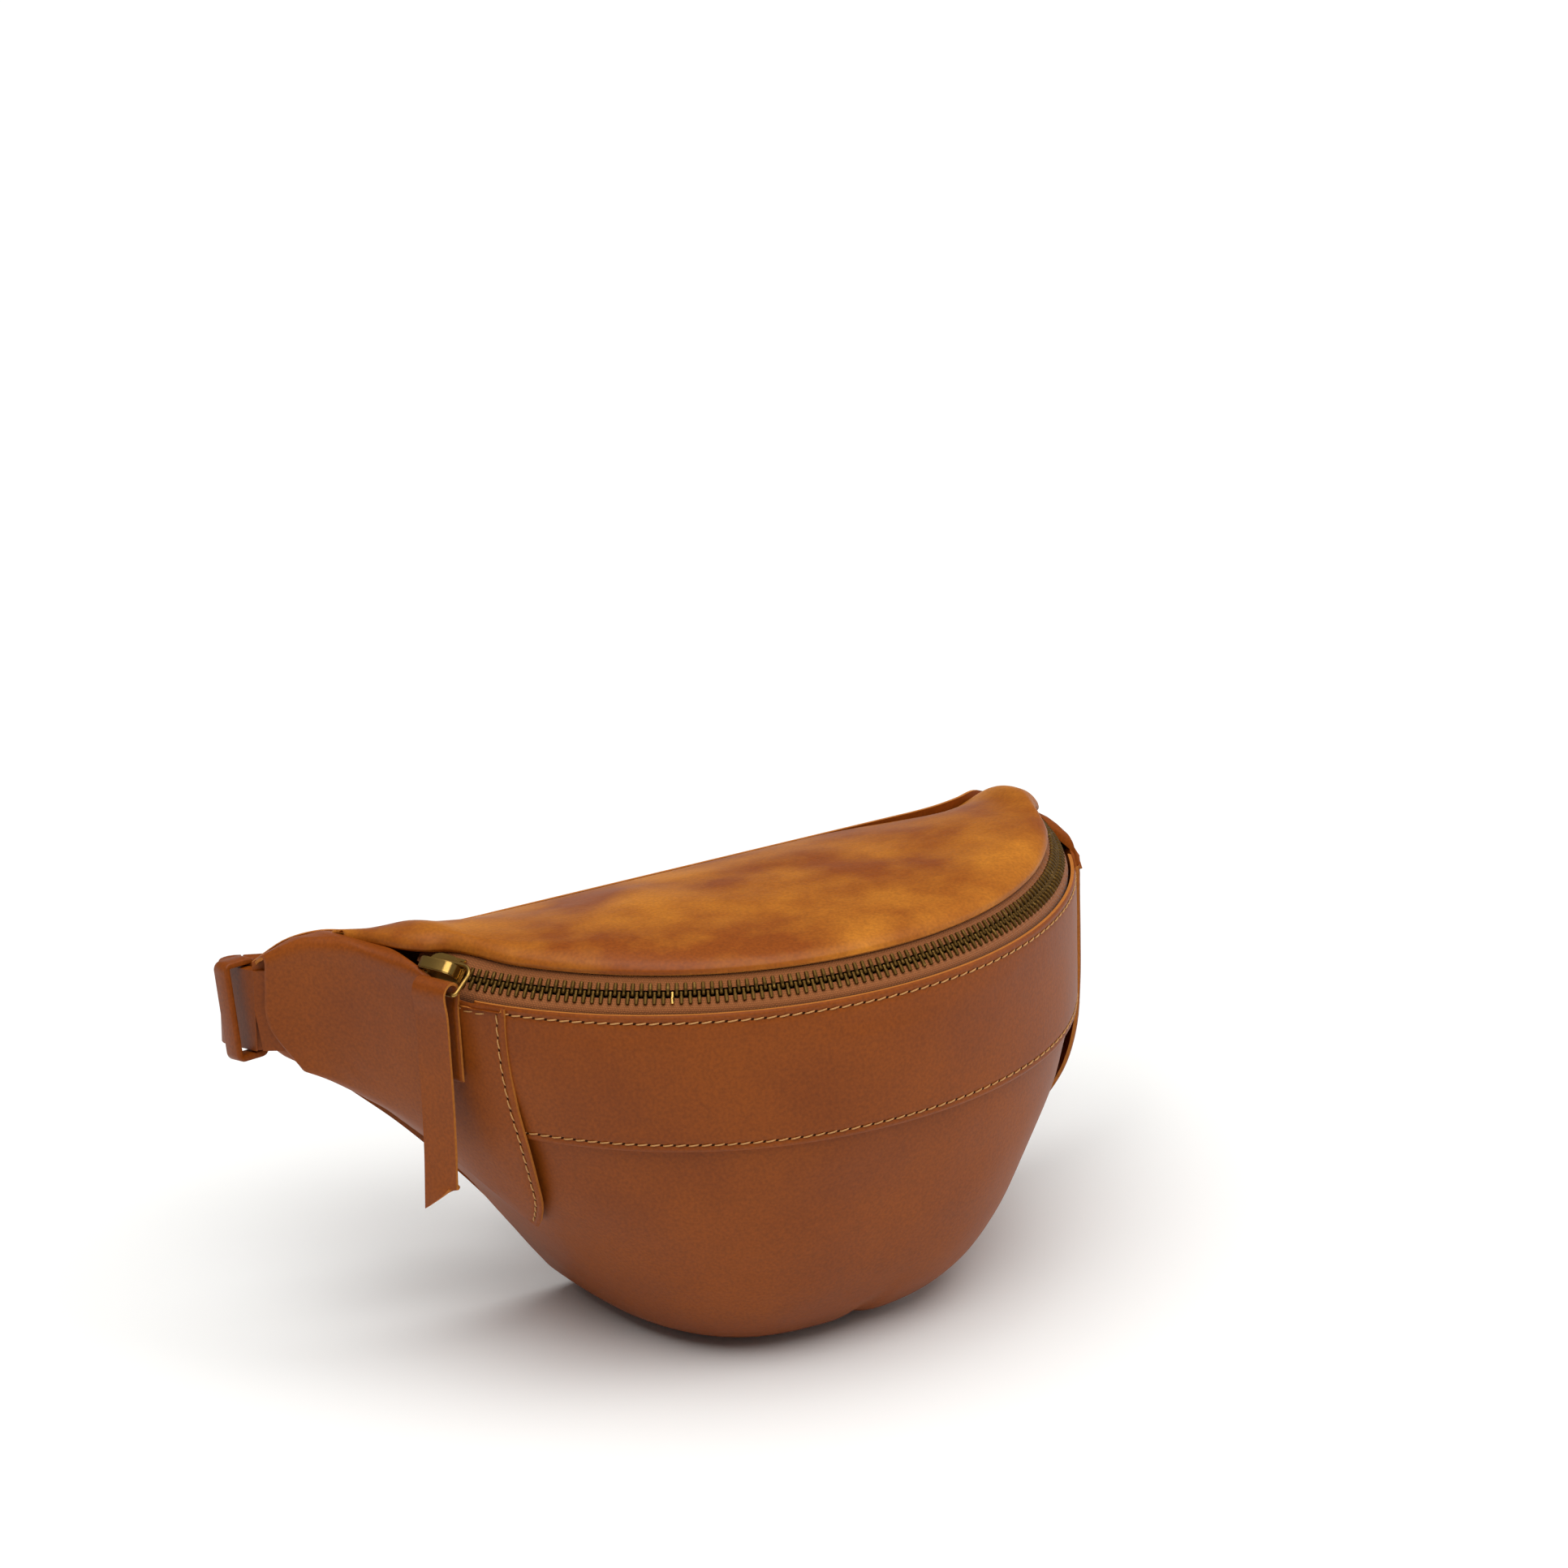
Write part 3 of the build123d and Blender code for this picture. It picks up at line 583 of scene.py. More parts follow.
def top_grid():
    """Points of the top panel: a dome that narrows to a horn behind each end of the zip."""
    edge_r = ZIP_R - TOP_EDGE_W * math.sin(ZIP_LEAN) + 1.8 * math.cos(ZIP_LEAN)
    edge_z = TOP_EDGE_W * math.cos(ZIP_LEAN) + 1.8 * math.sin(ZIP_LEAN)
    grid = []
    horn = [104.0, 108.0, 112.0, 116.0]
    for x in [-d for d in reversed(horn)] + list(np.linspace(-100, 100, 21)) + horn:
        d = abs(x)
        y_front = -math.sqrt(edge_r ** 2 - d * d) if d <= 100.5 else interp(d, HORN)
        y_rear = back_y(x, 119.0) - LEATHER - 0.4
        fade = max(0.0, min(1.0, (d - 100.0) / 16.0))
        droop = 0.0 if x < 0 else max(0.0, d - 102.0) * 0.75
        sag = 3.0 * max(0.0, min(1.0, (x - 45.0) / 45.0))
        row = []
        for s, h in DOME:
            y = y_front + (y_rear - y_front) * s
            z = level_z(y, edge_z + h * (1.0 - 0.45 * fade)) - 1.5 * fade - droop - sag * s * s
            row.append((x, y, z))
        grid.append(row)
    return grid


def back_grid():
    """Points of the back panel's outer face."""
    grid = []
    for x in np.linspace(-134.5, 134.5, 33):
        lo, hi = back_edge(x, False), back_edge(x, True)
        line = []
        for t in np.linspace(0.0, 1.0, 9):
            z = lo + (hi - lo) * t
            trim = 9.0 * max(0.0, (abs(x) - 100.0) / 34.5) ** 2 * max(0.0, (0.5 - t) / 0.5) ** 2
            line.append((x - math.copysign(trim, x), back_y(x, z), z))
        grid.append(line)
    return grid


# ------------------------------------------------------------------ the zip's frame
def tilted(points):
    """Points from the zip's level frame to the pack's, in millimetres."""
    points = np.array(points, float)
    c, s = math.cos(-ZIP_TILT), math.sin(-ZIP_TILT)
    x, y, z = points[..., 0], points[..., 1], points[..., 2]
    return np.stack([x, c * y - s * z, s * y + c * z + ZIP_Z], axis=-1)


def on_chain(beta, along, across, out):
    """Point near the chain: along it to the right, across it upwards and out of it."""
    b = math.radians(beta)
    r = ZIP_R - across * math.sin(ZIP_LEAN) + out * math.cos(ZIP_LEAN)
    z = across * math.cos(ZIP_LEAN) + out * math.sin(ZIP_LEAN)
    return (r * math.sin(b) + along * math.cos(b), -r * math.cos(b) + along * math.sin(b), z)


def chain_points(beta, local):
    """Local points (along, across, out) at an angle, in the pack's frame."""
    return tilted([on_chain(beta, *p) for p in local])


# ------------------------------------------------------------------ materials
def linear(text):
    """sRGB hex value to a linear colour."""
    values = [int(text[i:i + 2], 16) / 255 for i in (1, 3, 5)]
    return [v / 12.92 if v <= 0.04045 else ((v + 0.055) / 1.055) ** 2.4 for v in values] + [1.0]


def node(tree, kind, links=None, **settings):
    """Add a node with its settings; links maps an input's name or index to a socket or a value."""
    made = tree.nodes.new(kind)
    for key, value in settings.items():
        setattr(made, key, value)
    for key, value in (links or {}).items():
        socket = made.inputs[key]
        if isinstance(value, bpy.types.NodeSocket):
            tree.links.new(value, socket)
        else:
            socket.default_value = value
    return made


def blank(name):
    """Material with an empty tree and its surface shader."""
    material = bpy.data.materials.new(name)
    material.use_nodes = True
    tree = material.node_tree
    tree.nodes.clear()
    output = node(tree, "ShaderNodeOutputMaterial")
    shader = node(tree, "ShaderNodeBsdfPrincipled")
    tree.links.new(shader.outputs[0], output.inputs[0])
    return material, tree, shader


def leather(name, colour, dark, roughness, grain=1.1 * MM, grain_height=0.05 * MM):
    """Vegetable-tanned cowhide, dyed through and waxed: mottled dye, fine pores, a low waxy sheen."""
    material, tree, shader = blank(name)
    place = node(tree, "ShaderNodeTexCoord").outputs["Object"]
    clouds = node(tree, "ShaderNodeTexNoise", {"Vector": place, "Scale": 1 / (30 * MM), "Detail": 4.0})
    ramp = node(tree, "ShaderNodeValToRGB", {"Fac": clouds.outputs["Fac"]})
    ramp.color_ramp.elements[0].position, ramp.color_ramp.elements[1].position = 0.36, 0.66
    tone = node(tree, "ShaderNodeMix", {"Factor": ramp.outputs["Color"], 6: linear(dark), 7: linear(colour)},
                data_type="RGBA")
    # Speckle of the pores, about a millimetre across so that it shows.
    speck = node(tree, "ShaderNodeTexNoise", {"Vector": place, "Scale": 1 / (0.9 * MM), "Detail": 2.0})
    level = node(tree, "ShaderNodeMapRange", {"Value": speck.outputs["Fac"], "From Min": 0.3, "From Max": 0.7,
                                              "To Min": 0.86, "To Max": 1.14})
    dyed = node(tree, "ShaderNodeMix", {"Factor": 1.0, 6: tone.outputs[2], 7: level.outputs[0]},
                data_type="RGBA", blend_type="MULTIPLY")
    tree.links.new(dyed.outputs[2], shader.inputs["Base Color"])
    cells = node(tree, "ShaderNodeTexVoronoi", {"Vector": place, "Scale": 1 / grain}, feature="SMOOTH_F1")
    relief = node(tree, "ShaderNodeBump", {"Height": cells.outputs["Distance"], "Distance": grain_height,
                                           "Strength": 0.6})
    waves = node(tree, "ShaderNodeTexNoise", {"Vector": place, "Scale": 1 / (7 * MM), "Detail": 3.0})
    relief = node(tree, "ShaderNodeBump", {"Height": waves.outputs["Fac"], "Distance": 0.25 * MM,
                                           "Strength": 0.35, "Normal": relief.outputs[0]})
    tree.links.new(relief.outputs[0], shader.inputs["Normal"])
    shine = node(tree, "ShaderNodeMapRange", {"Value": clouds.outputs["Fac"], "To Min": roughness - 0.08,
                                              "To Max": roughness + 0.10})
    tree.links.new(shine.outputs[0], shader.inputs["Roughness"])
    shader.inputs["IOR"].default_value = 1.5
    shader.inputs["Specular IOR Level"].default_value = 0.22
    return material


def cut_edge(name, colour):
    """Cut edge of the same hide: pale, dry fibres."""
    material, tree, shader = blank(name)
    place = node(tree, "ShaderNodeTexCoord").outputs["Object"]
    fibre = node(tree, "ShaderNodeTexNoise", {"Vector": place, "Scale": 1 / (0.8 * MM), "Detail": 3.0})
    level = node(tree, "ShaderNodeMapRange", {"Value": fibre.outputs["Fac"], "To Min": 0.7, "To Max": 1.25})
    shade = node(tree, "ShaderNodeMix", {"Factor": 1.0, 6: linear(colour), 7: level.outputs[0]},
                 data_type="RGBA", blend_type="MULTIPLY")
    tree.links.new(shade.outputs[2], shader.inputs["Base Color"])
    relief = node(tree, "ShaderNodeBump", {"Height": fibre.outputs["Fac"], "Distance": 0.15 * MM})
    tree.links.new(relief.outputs[0], shader.inputs["Normal"])
    shader.inputs["Roughness"].default_value = 0.75
    shader.inputs["Specular IOR Level"].default_value = 0.2
    return material


def cloth(name, colour, thread_pitch):
    """Woven cotton or polyester: dull, with a fine two-way weave."""
    material, tree, shader = blank(name)
    place = node(tree, "ShaderNodeTexCoord").outputs["Object"]
    waves = [node(tree, "ShaderNodeTexWave", {"Vector": place, "Scale": 1 / (thread_pitch * 3.2)},
                  bands_direction=axis) for axis in ("X", "Z")]
    weave = node(tree, "ShaderNodeMath", {0: waves[0].outputs["Fac"], 1: waves[1].outputs["Fac"]},
                 operation="MULTIPLY")
    level = node(tree, "ShaderNodeMapRange", {"Value": weave.outputs[0], "To Min": 0.75, "To Max": 1.15})
    shade = node(tree, "ShaderNodeMix", {"Factor": 1.0, 6: linear(colour), 7: level.outputs[0]},
                 data_type="RGBA", blend_type="MULTIPLY")
    tree.links.new(shade.outputs[2], shader.inputs["Base Color"])
    relief = node(tree, "ShaderNodeBump", {"Height": weave.outputs[0], "Distance": 0.1 * MM})
    tree.links.new(relief.outputs[0], shader.inputs["Normal"])
    shader.inputs["Roughness"].default_value = 0.85
    shader.inputs["Sheen Weight"].default_value = 0.15
    shader.inputs["Specular IOR Level"].default_value = 0.2
    return material


def thread_material(name, colour):
    """Waxed polyester thread: twisted plies, slightly glossy."""
    material, tree, shader = blank(name)
    place = node(tree, "ShaderNodeTexCoord").outputs["Object"]
    plies = node(tree, "ShaderNodeTexNoise", {"Vector": place, "Scale": 1 / (0.5 * MM), "Detail": 1.0})
    level = node(tree, "ShaderNodeMapRange", {"Value": plies.outputs["Fac"], "To Min": 0.65, "To Max": 1.3})
    shade = node(tree, "ShaderNodeMix", {"Factor": 1.0, 6: linear(colour), 7: level.outputs[0]},
                 data_type="RGBA", blend_type="MULTIPLY")
    tree.links.new(shade.outputs[2], shader.inputs["Base Color"])
    shader.inputs["Roughness"].default_value = 0.6
    return material


def needle_hole(name):
    """Shadow inside a needle hole."""
    material, _tree, shader = blank(name)
    shader.inputs["Base Color"].default_value = linear("#2e1504")
    shader.inputs["Roughness"].default_value = 0.95
    shader.inputs["Specular IOR Level"].default_value = 0.1
    return material


def antique_brass(name, bright, dark):
    """Cast brass, oxidised and then tumbled: dark in the recesses, rubbed bright on the edges."""
    material, tree, shader = blank(name)
    geometry = node(tree, "ShaderNodeNewGeometry")
    place = node(tree, "ShaderNodeTexCoord").outputs["Object"]
    wear = node(tree, "ShaderNodeMapRange", {"Value": geometry.outputs["Pointiness"], "From Min": 0.46,
                                             "From Max": 0.56})
    blotch = node(tree, "ShaderNodeTexNoise", {"Vector": place, "Scale": 1 / (2.2 * MM), "Detail": 4.0})
    mixed = node(tree, "ShaderNodeMath", {0: wear.outputs[0], 1: blotch.outputs["Fac"]}, operation="ADD")
    level = node(tree, "ShaderNodeMapRange", {"Value": mixed.outputs[0], "From Min": 0.55, "From Max": 1.3})
    shade = node(tree, "ShaderNodeMix", {"Factor": level.outputs[0], 6: linear(dark), 7: linear(bright)},
                 data_type="RGBA")
    tree.links.new(shade.outputs[2], shader.inputs["Base Color"])
    rough = node(tree, "ShaderNodeMapRange", {"Value": level.outputs[0], "To Min": 0.55, "To Max": 0.3})
    tree.links.new(rough.outputs[0], shader.inputs["Roughness"])
    relief = node(tree, "ShaderNodeBump", {"Height": blotch.outputs["Fac"], "Distance": 0.04 * MM})
    tree.links.new(relief.outputs[0], shader.inputs["Normal"])
    shader.inputs["Metallic"].default_value = 1.0
    return material


def floor_material(name, colour):
    """Matt painted board."""
    material, _tree, shader = blank(name)
    shader.inputs["Base Color"].default_value = linear(colour)
    shader.inputs["Roughness"].default_value = 0.7
    shader.inputs["Specular IOR Level"].default_value = 0.2
    return material


def materials():
    """All the pack's materials, made once."""
    if "leather_waxed_full_grain" not in bpy.data.materials:
        c = bpy.context.scene.pack_colours
        leather("leather_waxed_full_grain", c.leather, c.leather_dark, 0.50)
        # Lid: a lighter copy of the body's leather, with painted light where the overhead light falls on the
        # top.
        leather("leather_full_grain_painted_light_lid", c.leather_top, c.leather, 0.50)
        leather("leather_strap_bridle", c.leather_dark, c.leather_dark, 0.45, grain=0.9 * MM)
        cut_edge("leather_cut_edge", c.edge)
        cloth("polyester_zip_tape_herringbone", c.tape, 0.5 * MM)
        cloth("cotton_lining_plain_weave", c.lining, 0.6 * MM)
        thread_material("polyester_thread_waxed", c.thread)
        needle_hole("needle_hole_shadow")
        antique_brass("brass_antiqued_cast", c.brass, c.patina)
    return bpy.data.materials


def paint(names, material):
    """Give carried-over CAD nodes a material."""
    for name in names:
        mesh = frame["nodes"][name].data
        mesh.materials.clear()
        mesh.materials.append(materials()[material])


def soften(name, width, segments=2):
    """Rounded edges on a carried-over CAD node."""
    obj = frame["nodes"][name]
    weld = obj.modifiers.new("weld", "WELD")
    weld.merge_threshold = 0.005 * MM
    bevel = obj.modifiers.new("rounded_edges", "BEVEL")
    bevel.width, bevel.segments = width, segments
    bevel.limit_method, bevel.angle_limit = "ANGLE", math.radians(35)
    bevel.harden_normals = False
    obj.data.polygons.foreach_set("use_smooth", [True] * len(obj.data.polygons))


def hides(outer="leather_waxed_full_grain"):
    """Outer leather and its cut edge."""
    return [materials()[outer], materials()["leather_cut_edge"]]


def stitching(name, rows, body):
    """One mesh for all the stitches of a piece; rows are (points, normals)."""
    sizes = bpy.context.scene.pack_sizes
    parts = Parts()
    for points, normals in rows:
        sew(parts, points, normals, sizes.stitch_pitch / MM, sizes.thread / MM)
    used = [materials()["polyester_thread_waxed"], materials()["needle_hole_shadow"]]
    return finish_mesh(name, parts.verts, parts.faces, used, body, parts.marks, 60.0)


# ------------------------------------------------------------------ operators
class PACK_OT_front_panel(bpy.types.Operator):
    """Front panel: one soft piece of leather from under the band to the floor"""

    bl_idname = "pack.front_panel"
    bl_label = "Front panel"

    def execute(self, context):
        grid = wall_grid(2, 9, -LAP, 100.0)
        floor_rows = []
        for share in (0.8, 0.5, 0.2):
            edge = grid[:, -1]
            flat = edge * np.array([share, share, 0.0])
            flat[:, 1] = np.minimum(flat[:, 1], BACK_LOW - 2.0)
            floor_rows.append(flat)
        grid = np.concatenate([grid, np.stack(floor_rows, axis=1)], axis=1)

        def shape(points, a, b, panel):
            soft = wander(points, 42.0, 3.0) * 0.8 + wander(points, 17.0, 5.0) * 0.2
            inner = np.minimum(1.0, points[..., 2] / 14.0)
            pleat = -1.6 * bump(points[..., 0] - 4.0 - 0.25 * points[..., 2], 0.0, 4.0) \
                * bump(points[..., 2], 3.0, 12.0) * (points[..., 1] < -55)
            return soft * inner * (b < panel.wide - 40) + pleat

        panel = Panel(grid, (0, -40, 60), context.scene.pack_sizes.panel_step / MM, shape=shape)
        panel.outer[..., 2] = np.maximum(panel.outer[..., 2], 0.0)
        obj = panel_object("front_leather", panel, hides(), "pack")
        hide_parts("front_panel")
        return {"FINISHED"}


class PACK_OT_stage(bpy.types.Operator):
    """Pale floor, soft studio light and the camera"""

    bl_idname = "pack.stage"
    bl_label = "Stage"

    def execute(self, context):
        scene, settings = context.scene, context.scene.stage_settings
        scene.view_settings.view_transform = "Standard"
        mesh = bpy.data.meshes.new("floor")
        half = 9.0  # metres, so that the board's edges stay out of sight
        corners = [(-half, -half, 0), (half, -half, 0), (half, half, 0), (-half, half, 0)]
        mesh.from_pydata(corners, [], [(0, 1, 2, 3)])
        mesh.materials.append(floor_material("board_painted_matt", settings.floor))
        floor = bpy.data.objects.new("floor", mesh)
        scene.collection.objects.link(floor)
        world = bpy.data.worlds.new("studio")
        world.use_nodes = True
        world.node_tree.nodes["Background"].inputs[0].default_value = (1.0, 0.99, 0.98, 1.0)
        world.node_tree.nodes["Background"].inputs[1].default_value = 0.16
        scene.world = world
        for name, strength, angle, direction in (
                ("overhead_softbox", 3.35, 70.0, (0.10, 0.20, -1.0)),
                ("side_softbox", 0.55, 30.0, (-0.9, 0.35, -0.35))):
            light = bpy.data.lights.new(name, "SUN")
            light.energy, light.angle = strength, math.radians(angle)
            lamp = bpy.data.objects.new(name, light)
            lamp.rotation_mode = "QUATERNION"
            lamp.rotation_quaternion = Vector(direction).to_track_quat("-Z", "Y")
            scene.collection.objects.link(lamp)
        camera = bpy.data.objects.new("camera", bpy.data.cameras.new("camera"))
        scene.collection.objects.link(camera)
        camera.data.lens, camera.data.sensor_width = settings.lens, 36.0
        swing, rise = settings.swing, settings.rise
        look = Vector((math.sin(swing) * math.cos(rise), math.cos(swing) * math.cos(rise), -math.sin(rise)))
        camera.location = Vector(CAMERA_SPOT) * MM
        camera.rotation_mode = "QUATERNION"
        camera.rotation_quaternion = look.to_track_quat("-Z", "Y")
        camera.data.clip_start, camera.data.clip_end = 0.05, 40.0
        scene.camera = camera
        return {"FINISHED"}


class PACK_OT_front_band(bpy.types.Operator):
    """Front band: sewn across the pack under the zip, along both its edges"""

    bl_idname = "pack.front_band"
    bl_label = "Front band"

    def execute(self, context):
        inset = context.scene.pack_sizes.seam_inset / MM
        grid = wall_grid(0, 3, 0.3, 101.0)
        panel = Panel(grid, (0, -40, 60), context.scene.pack_sizes.panel_step / MM,
                      shape=lambda p, a, b, panel: 0.35 * wander(p, 30.0, 8.0) * (p[..., 2] < 112), roll=0.45)
        first, last = 4.5, panel.long - 4.5
        rows = [panel.below(np.arange(first, last, 0.5), 0.0, inset),
                panel.below(np.arange(first, last, 0.5), panel.wide, inset, -1)]
        rows = panel.press(rows)
        obj = panel_object("band_leather", panel, hides(), "pack")
        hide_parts("front_band")
        stitching("band_stitches", rows, "pack")
        return {"FINISHED"}


class PACK_OT_wings(bpy.types.Operator):
    """Wings: the leather that carries the waist strap on each side"""

    bl_idname = "pack.wings"
    bl_label = "Wings"

    def execute(self, context):
        inset = context.scene.pack_sizes.seam_inset / MM
        for side, name in ((-1, "left"), (1, "right")):
            panel = Panel(wing_grid(side), (0, 0, 60), context.scene.pack_sizes.panel_step / MM, roll=0.45,
                          shape=lambda p, a, b, panel: 0.5 * wander(p, 34.0, 11.0) * (a > 6) * (b > 12))
            edge = panel.rows[WING_DROPS.index(0.0)]
            rows = [panel.line([(inset, edge + inset), (inset, panel.wide - 3.0)]),
                    panel.below(np.arange(inset + 3.6, 26.0, 0.5), edge, inset)]
            rows = panel.press(rows)
            obj = panel_object(f"{name}_wing_leather", panel, hides(), "pack")
            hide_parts(f"{name}_wing")
            stitching(f"{name}_wing_stitches", rows, "pack")
        return {"FINISHED"}


class PACK_OT_top_panel(bpy.types.Operator):
    """Top panel: a softly padded lid that is turned under along the zip"""

    bl_idname = "pack.top_panel"
    bl_label = "Top panel"

    def execute(self, context):
        def shape(p, a, b, panel):
            inside = np.clip(b / 10.0, 0, 1) * np.clip((panel.wide - b) / 12.0, 0, 1)
            soft = wander(p, 38.0, 21.0) * 1.1 + wander(p, 14.0, 23.0) * 0.25
            return soft * inside

        step = context.scene.pack_sizes.panel_step / MM
        panel = Panel(top_grid(), (0, -50, 0), step, shape=shape, roll=0.8)
        # The lid's leather carries painted light: it is lighter than the body for the light that falls on the
        # top.
        lid = hides("leather_full_grain_painted_light_lid")
        obj = panel_object("top_leather", panel, lid, "pack")
        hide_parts("top_panel")
        return {"FINISHED"}


class PACK_OT_back_panel(bpy.types.Operator):
    """Back panel: lies against the wearer and runs out to both tips"""

    bl_idname = "pack.back_panel"
    bl_label = "Back panel"

    def execute(self, context):
        inset = context.scene.pack_sizes.seam_inset / MM
        panel = Panel(back_grid(), (0, -60, 60), context.scene.pack_sizes.panel_step / MM,
                      shape=lambda p, a, b, panel: 0.4 * wander(p, 36.0, 31.0) * (b > 6)
                      * (b < panel.wide - 6))
        ends = np.arange(inset, panel.long - inset, 0.5)
        rows = [panel.below(ends, 0.0, inset), panel.below(ends, panel.wide, inset, -1)]
        rows = panel.press(rows)
        obj = panel_object("back_leather", panel, hides(), "pack")
        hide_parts("back_panel")
        stitching("back_stitches", rows, "pack")
        return {"FINISHED"}


class PACK_OT_zip(bpy.types.Operator):
    """Zip: two woven tapes and their meshed brass teeth"""

    bl_idname = "pack.zip"
    bl_label = "Zip"

    def execute(self, context):
        for name, section in TAPE_SECTIONS.items():
            section = np.array(section)
            along = np.arange(-ZIP_END - 0.75, ZIP_END + 0.76, math.degrees(TAPE_STEP / ZIP_R))
            widths = running_length(np.stack([section, section], axis=1))
            across = np.arange(0.0, widths[-1], TAPE_STEP)
            fine = through(widths, section, across)
            grid = tilted(np.array([[on_chain(beta, 0, a, o) for a, o in fine] for beta in along]))
            n = unit(np.cross(np.gradient(grid, axis=0), np.gradient(grid, axis=1)))
            if n[..., 2].sum() < 0:
                n = -n
            run = np.radians(along)[:, None] * ZIP_R
            side = across[None, :]
            fold = np.abs(((side - 0.4) / CHEVRON) % 2.0 - 1.0) * CHEVRON
            ribs = np.cos(2 * np.pi * (run - fold) / RIB_PITCH)
            grid = grid + n * (RIB_HEIGHT * ribs)[..., None]
            verts, faces, _marks = closed_sheet(grid, grid - n * TAPE, name == "upper")
            woven = [materials()["polyester_zip_tape_herringbone"]]
            obj = finish_mesh(f"{name}_zip_tape", verts, faces, woven, "pack", None, 60.0)
            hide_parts(f"{name}_tape")
        step = math.degrees(TOOTH_PITCH / ZIP_R)
        count = int(2 * (ZIP_END - 2.2) / step)
        for sign, name, shift in ((1, "upper", 0.0), (-1, "lower", 0.5)):
            parts = Parts()
            start = -step * count / 2 + shift * step
            for i in range(count):
                self.tooth(parts, start + i * step, sign)
            brass = [materials()["brass_antiqued_cast"]]
            obj = finish_mesh(f"{name}_zip_teeth", parts.verts, parts.faces, brass, "pack",
                              None, 50.0)
            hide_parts(f"{name}_teeth")
        return {"FINISHED"}

    def tooth(self, parts, beta, sign):
        """One tooth: crimped legs on the tape and a head that meshes between its neighbours."""
        rings = []
        for across, half, tall in TOOTH_SECTIONS:
            soft = min(half, tall) * 0.45
            ring = [(half - soft, tall), (half, tall - soft), (half, -tall + soft), (half - soft, -tall),
                    (-half + soft, -tall), (-half, -tall + soft), (-half, tall - soft), (-half + soft, tall)]
            rings.append(chain_points(beta, [(x, sign * across, z) for x, z in ring]))
        if sign < 0:
            rings = rings[::-1]
        parts.tube(rings)


class PACK_OT_slider(bpy.types.Operator):
    """Slider: brass body with its bridge, and the wire ring that rides under it"""

    bl_idname = "pack.slider"
    bl_label = "Slider"

    def execute(self, context):
        mesh = bmesh.new()
        outline = [(-7.0, 0.0), (-6.7, 2.3), (-5.6, 4.0), (-3.6, 4.85), (0.0, 4.9), (2.2, 4.6), (4.2, 3.6),
                   (6.2, 3.3), (6.9, 2.6), (7.0, 0.0)]
        outline += [(x, -y) for x, y in outline[-2:0:-1]]
        for low, high in ((1.75, 2.95), (-2.95, -1.75)):
            self.block(mesh, [(x, y, low) for x, y in outline], (0, 0, high - low))
        for sign in (-1, 1):
            rail = [(-5.2, sign * 3.75, -1.8), (5.2, sign * 3.75, -1.8), (5.2, sign * 4.8, -1.8),
                    (-5.2, sign * 4.8, -1.8)]
            self.block(mesh, rail, (0, 0, 1.05))
            rail = [(x, y, 0.75) for x, y, _z in rail]
            self.block(mesh, rail, (0, 0, 1.05))
        bridge = [(-6.4, 2.9), (-6.6, 5.0), (-6.2, 6.7), (-5.2, 7.7), (-3.6, 8.0), (3.0, 8.0), (4.8, 7.6),
                  (5.9, 6.6), (6.3, 5.0), (6.2, 2.9), (4.7, 2.9), (4.8, 5.0), (4.3, 5.9), (3.0, 6.3),
                  (-3.4, 6.3), (-4.6, 5.9), (-5.1, 5.0), (-4.9, 2.9)]
        self.block(mesh, [(x, -1.75, z) for x, z in bridge], (0, 3.5, 0))
        bmesh.ops.bevel(mesh, geom=mesh.edges[:], offset=0.32, segments=2, affect="EDGES", clamp_overlap=True)
        verts = np.array([v.co[:] for v in mesh.verts])
        faces = [[v.index for v in f.verts] for f in mesh.faces]
        mesh.free()
        obj = finish_mesh("slider_body", chain_points(SLIDER_BETA, verts), faces,
                          [materials()["brass_antiqued_cast"]], "slider_body", None, 35.0)
        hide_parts("slider")
        paint(["pull_ring"], "brass_antiqued_cast")
        return {"FINISHED"}

    def block(self, mesh, outline, rise):
        """Closed block over an outline."""
        low = [mesh.verts.new(p) for p in outline]
        high = [mesh.verts.new([p[i] + rise[i] for i in range(3)]) for p in outline]
        mesh.faces.new(low[::-1])
        mesh.faces.new(high)
        for i in range(len(low)):
            j = (i + 1) % len(low)
            mesh.faces.new([low[i], low[j], high[j], high[i]])
        bmesh.ops.recalc_face_normals(mesh, faces=mesh.faces)
        mesh.verts.index_update()


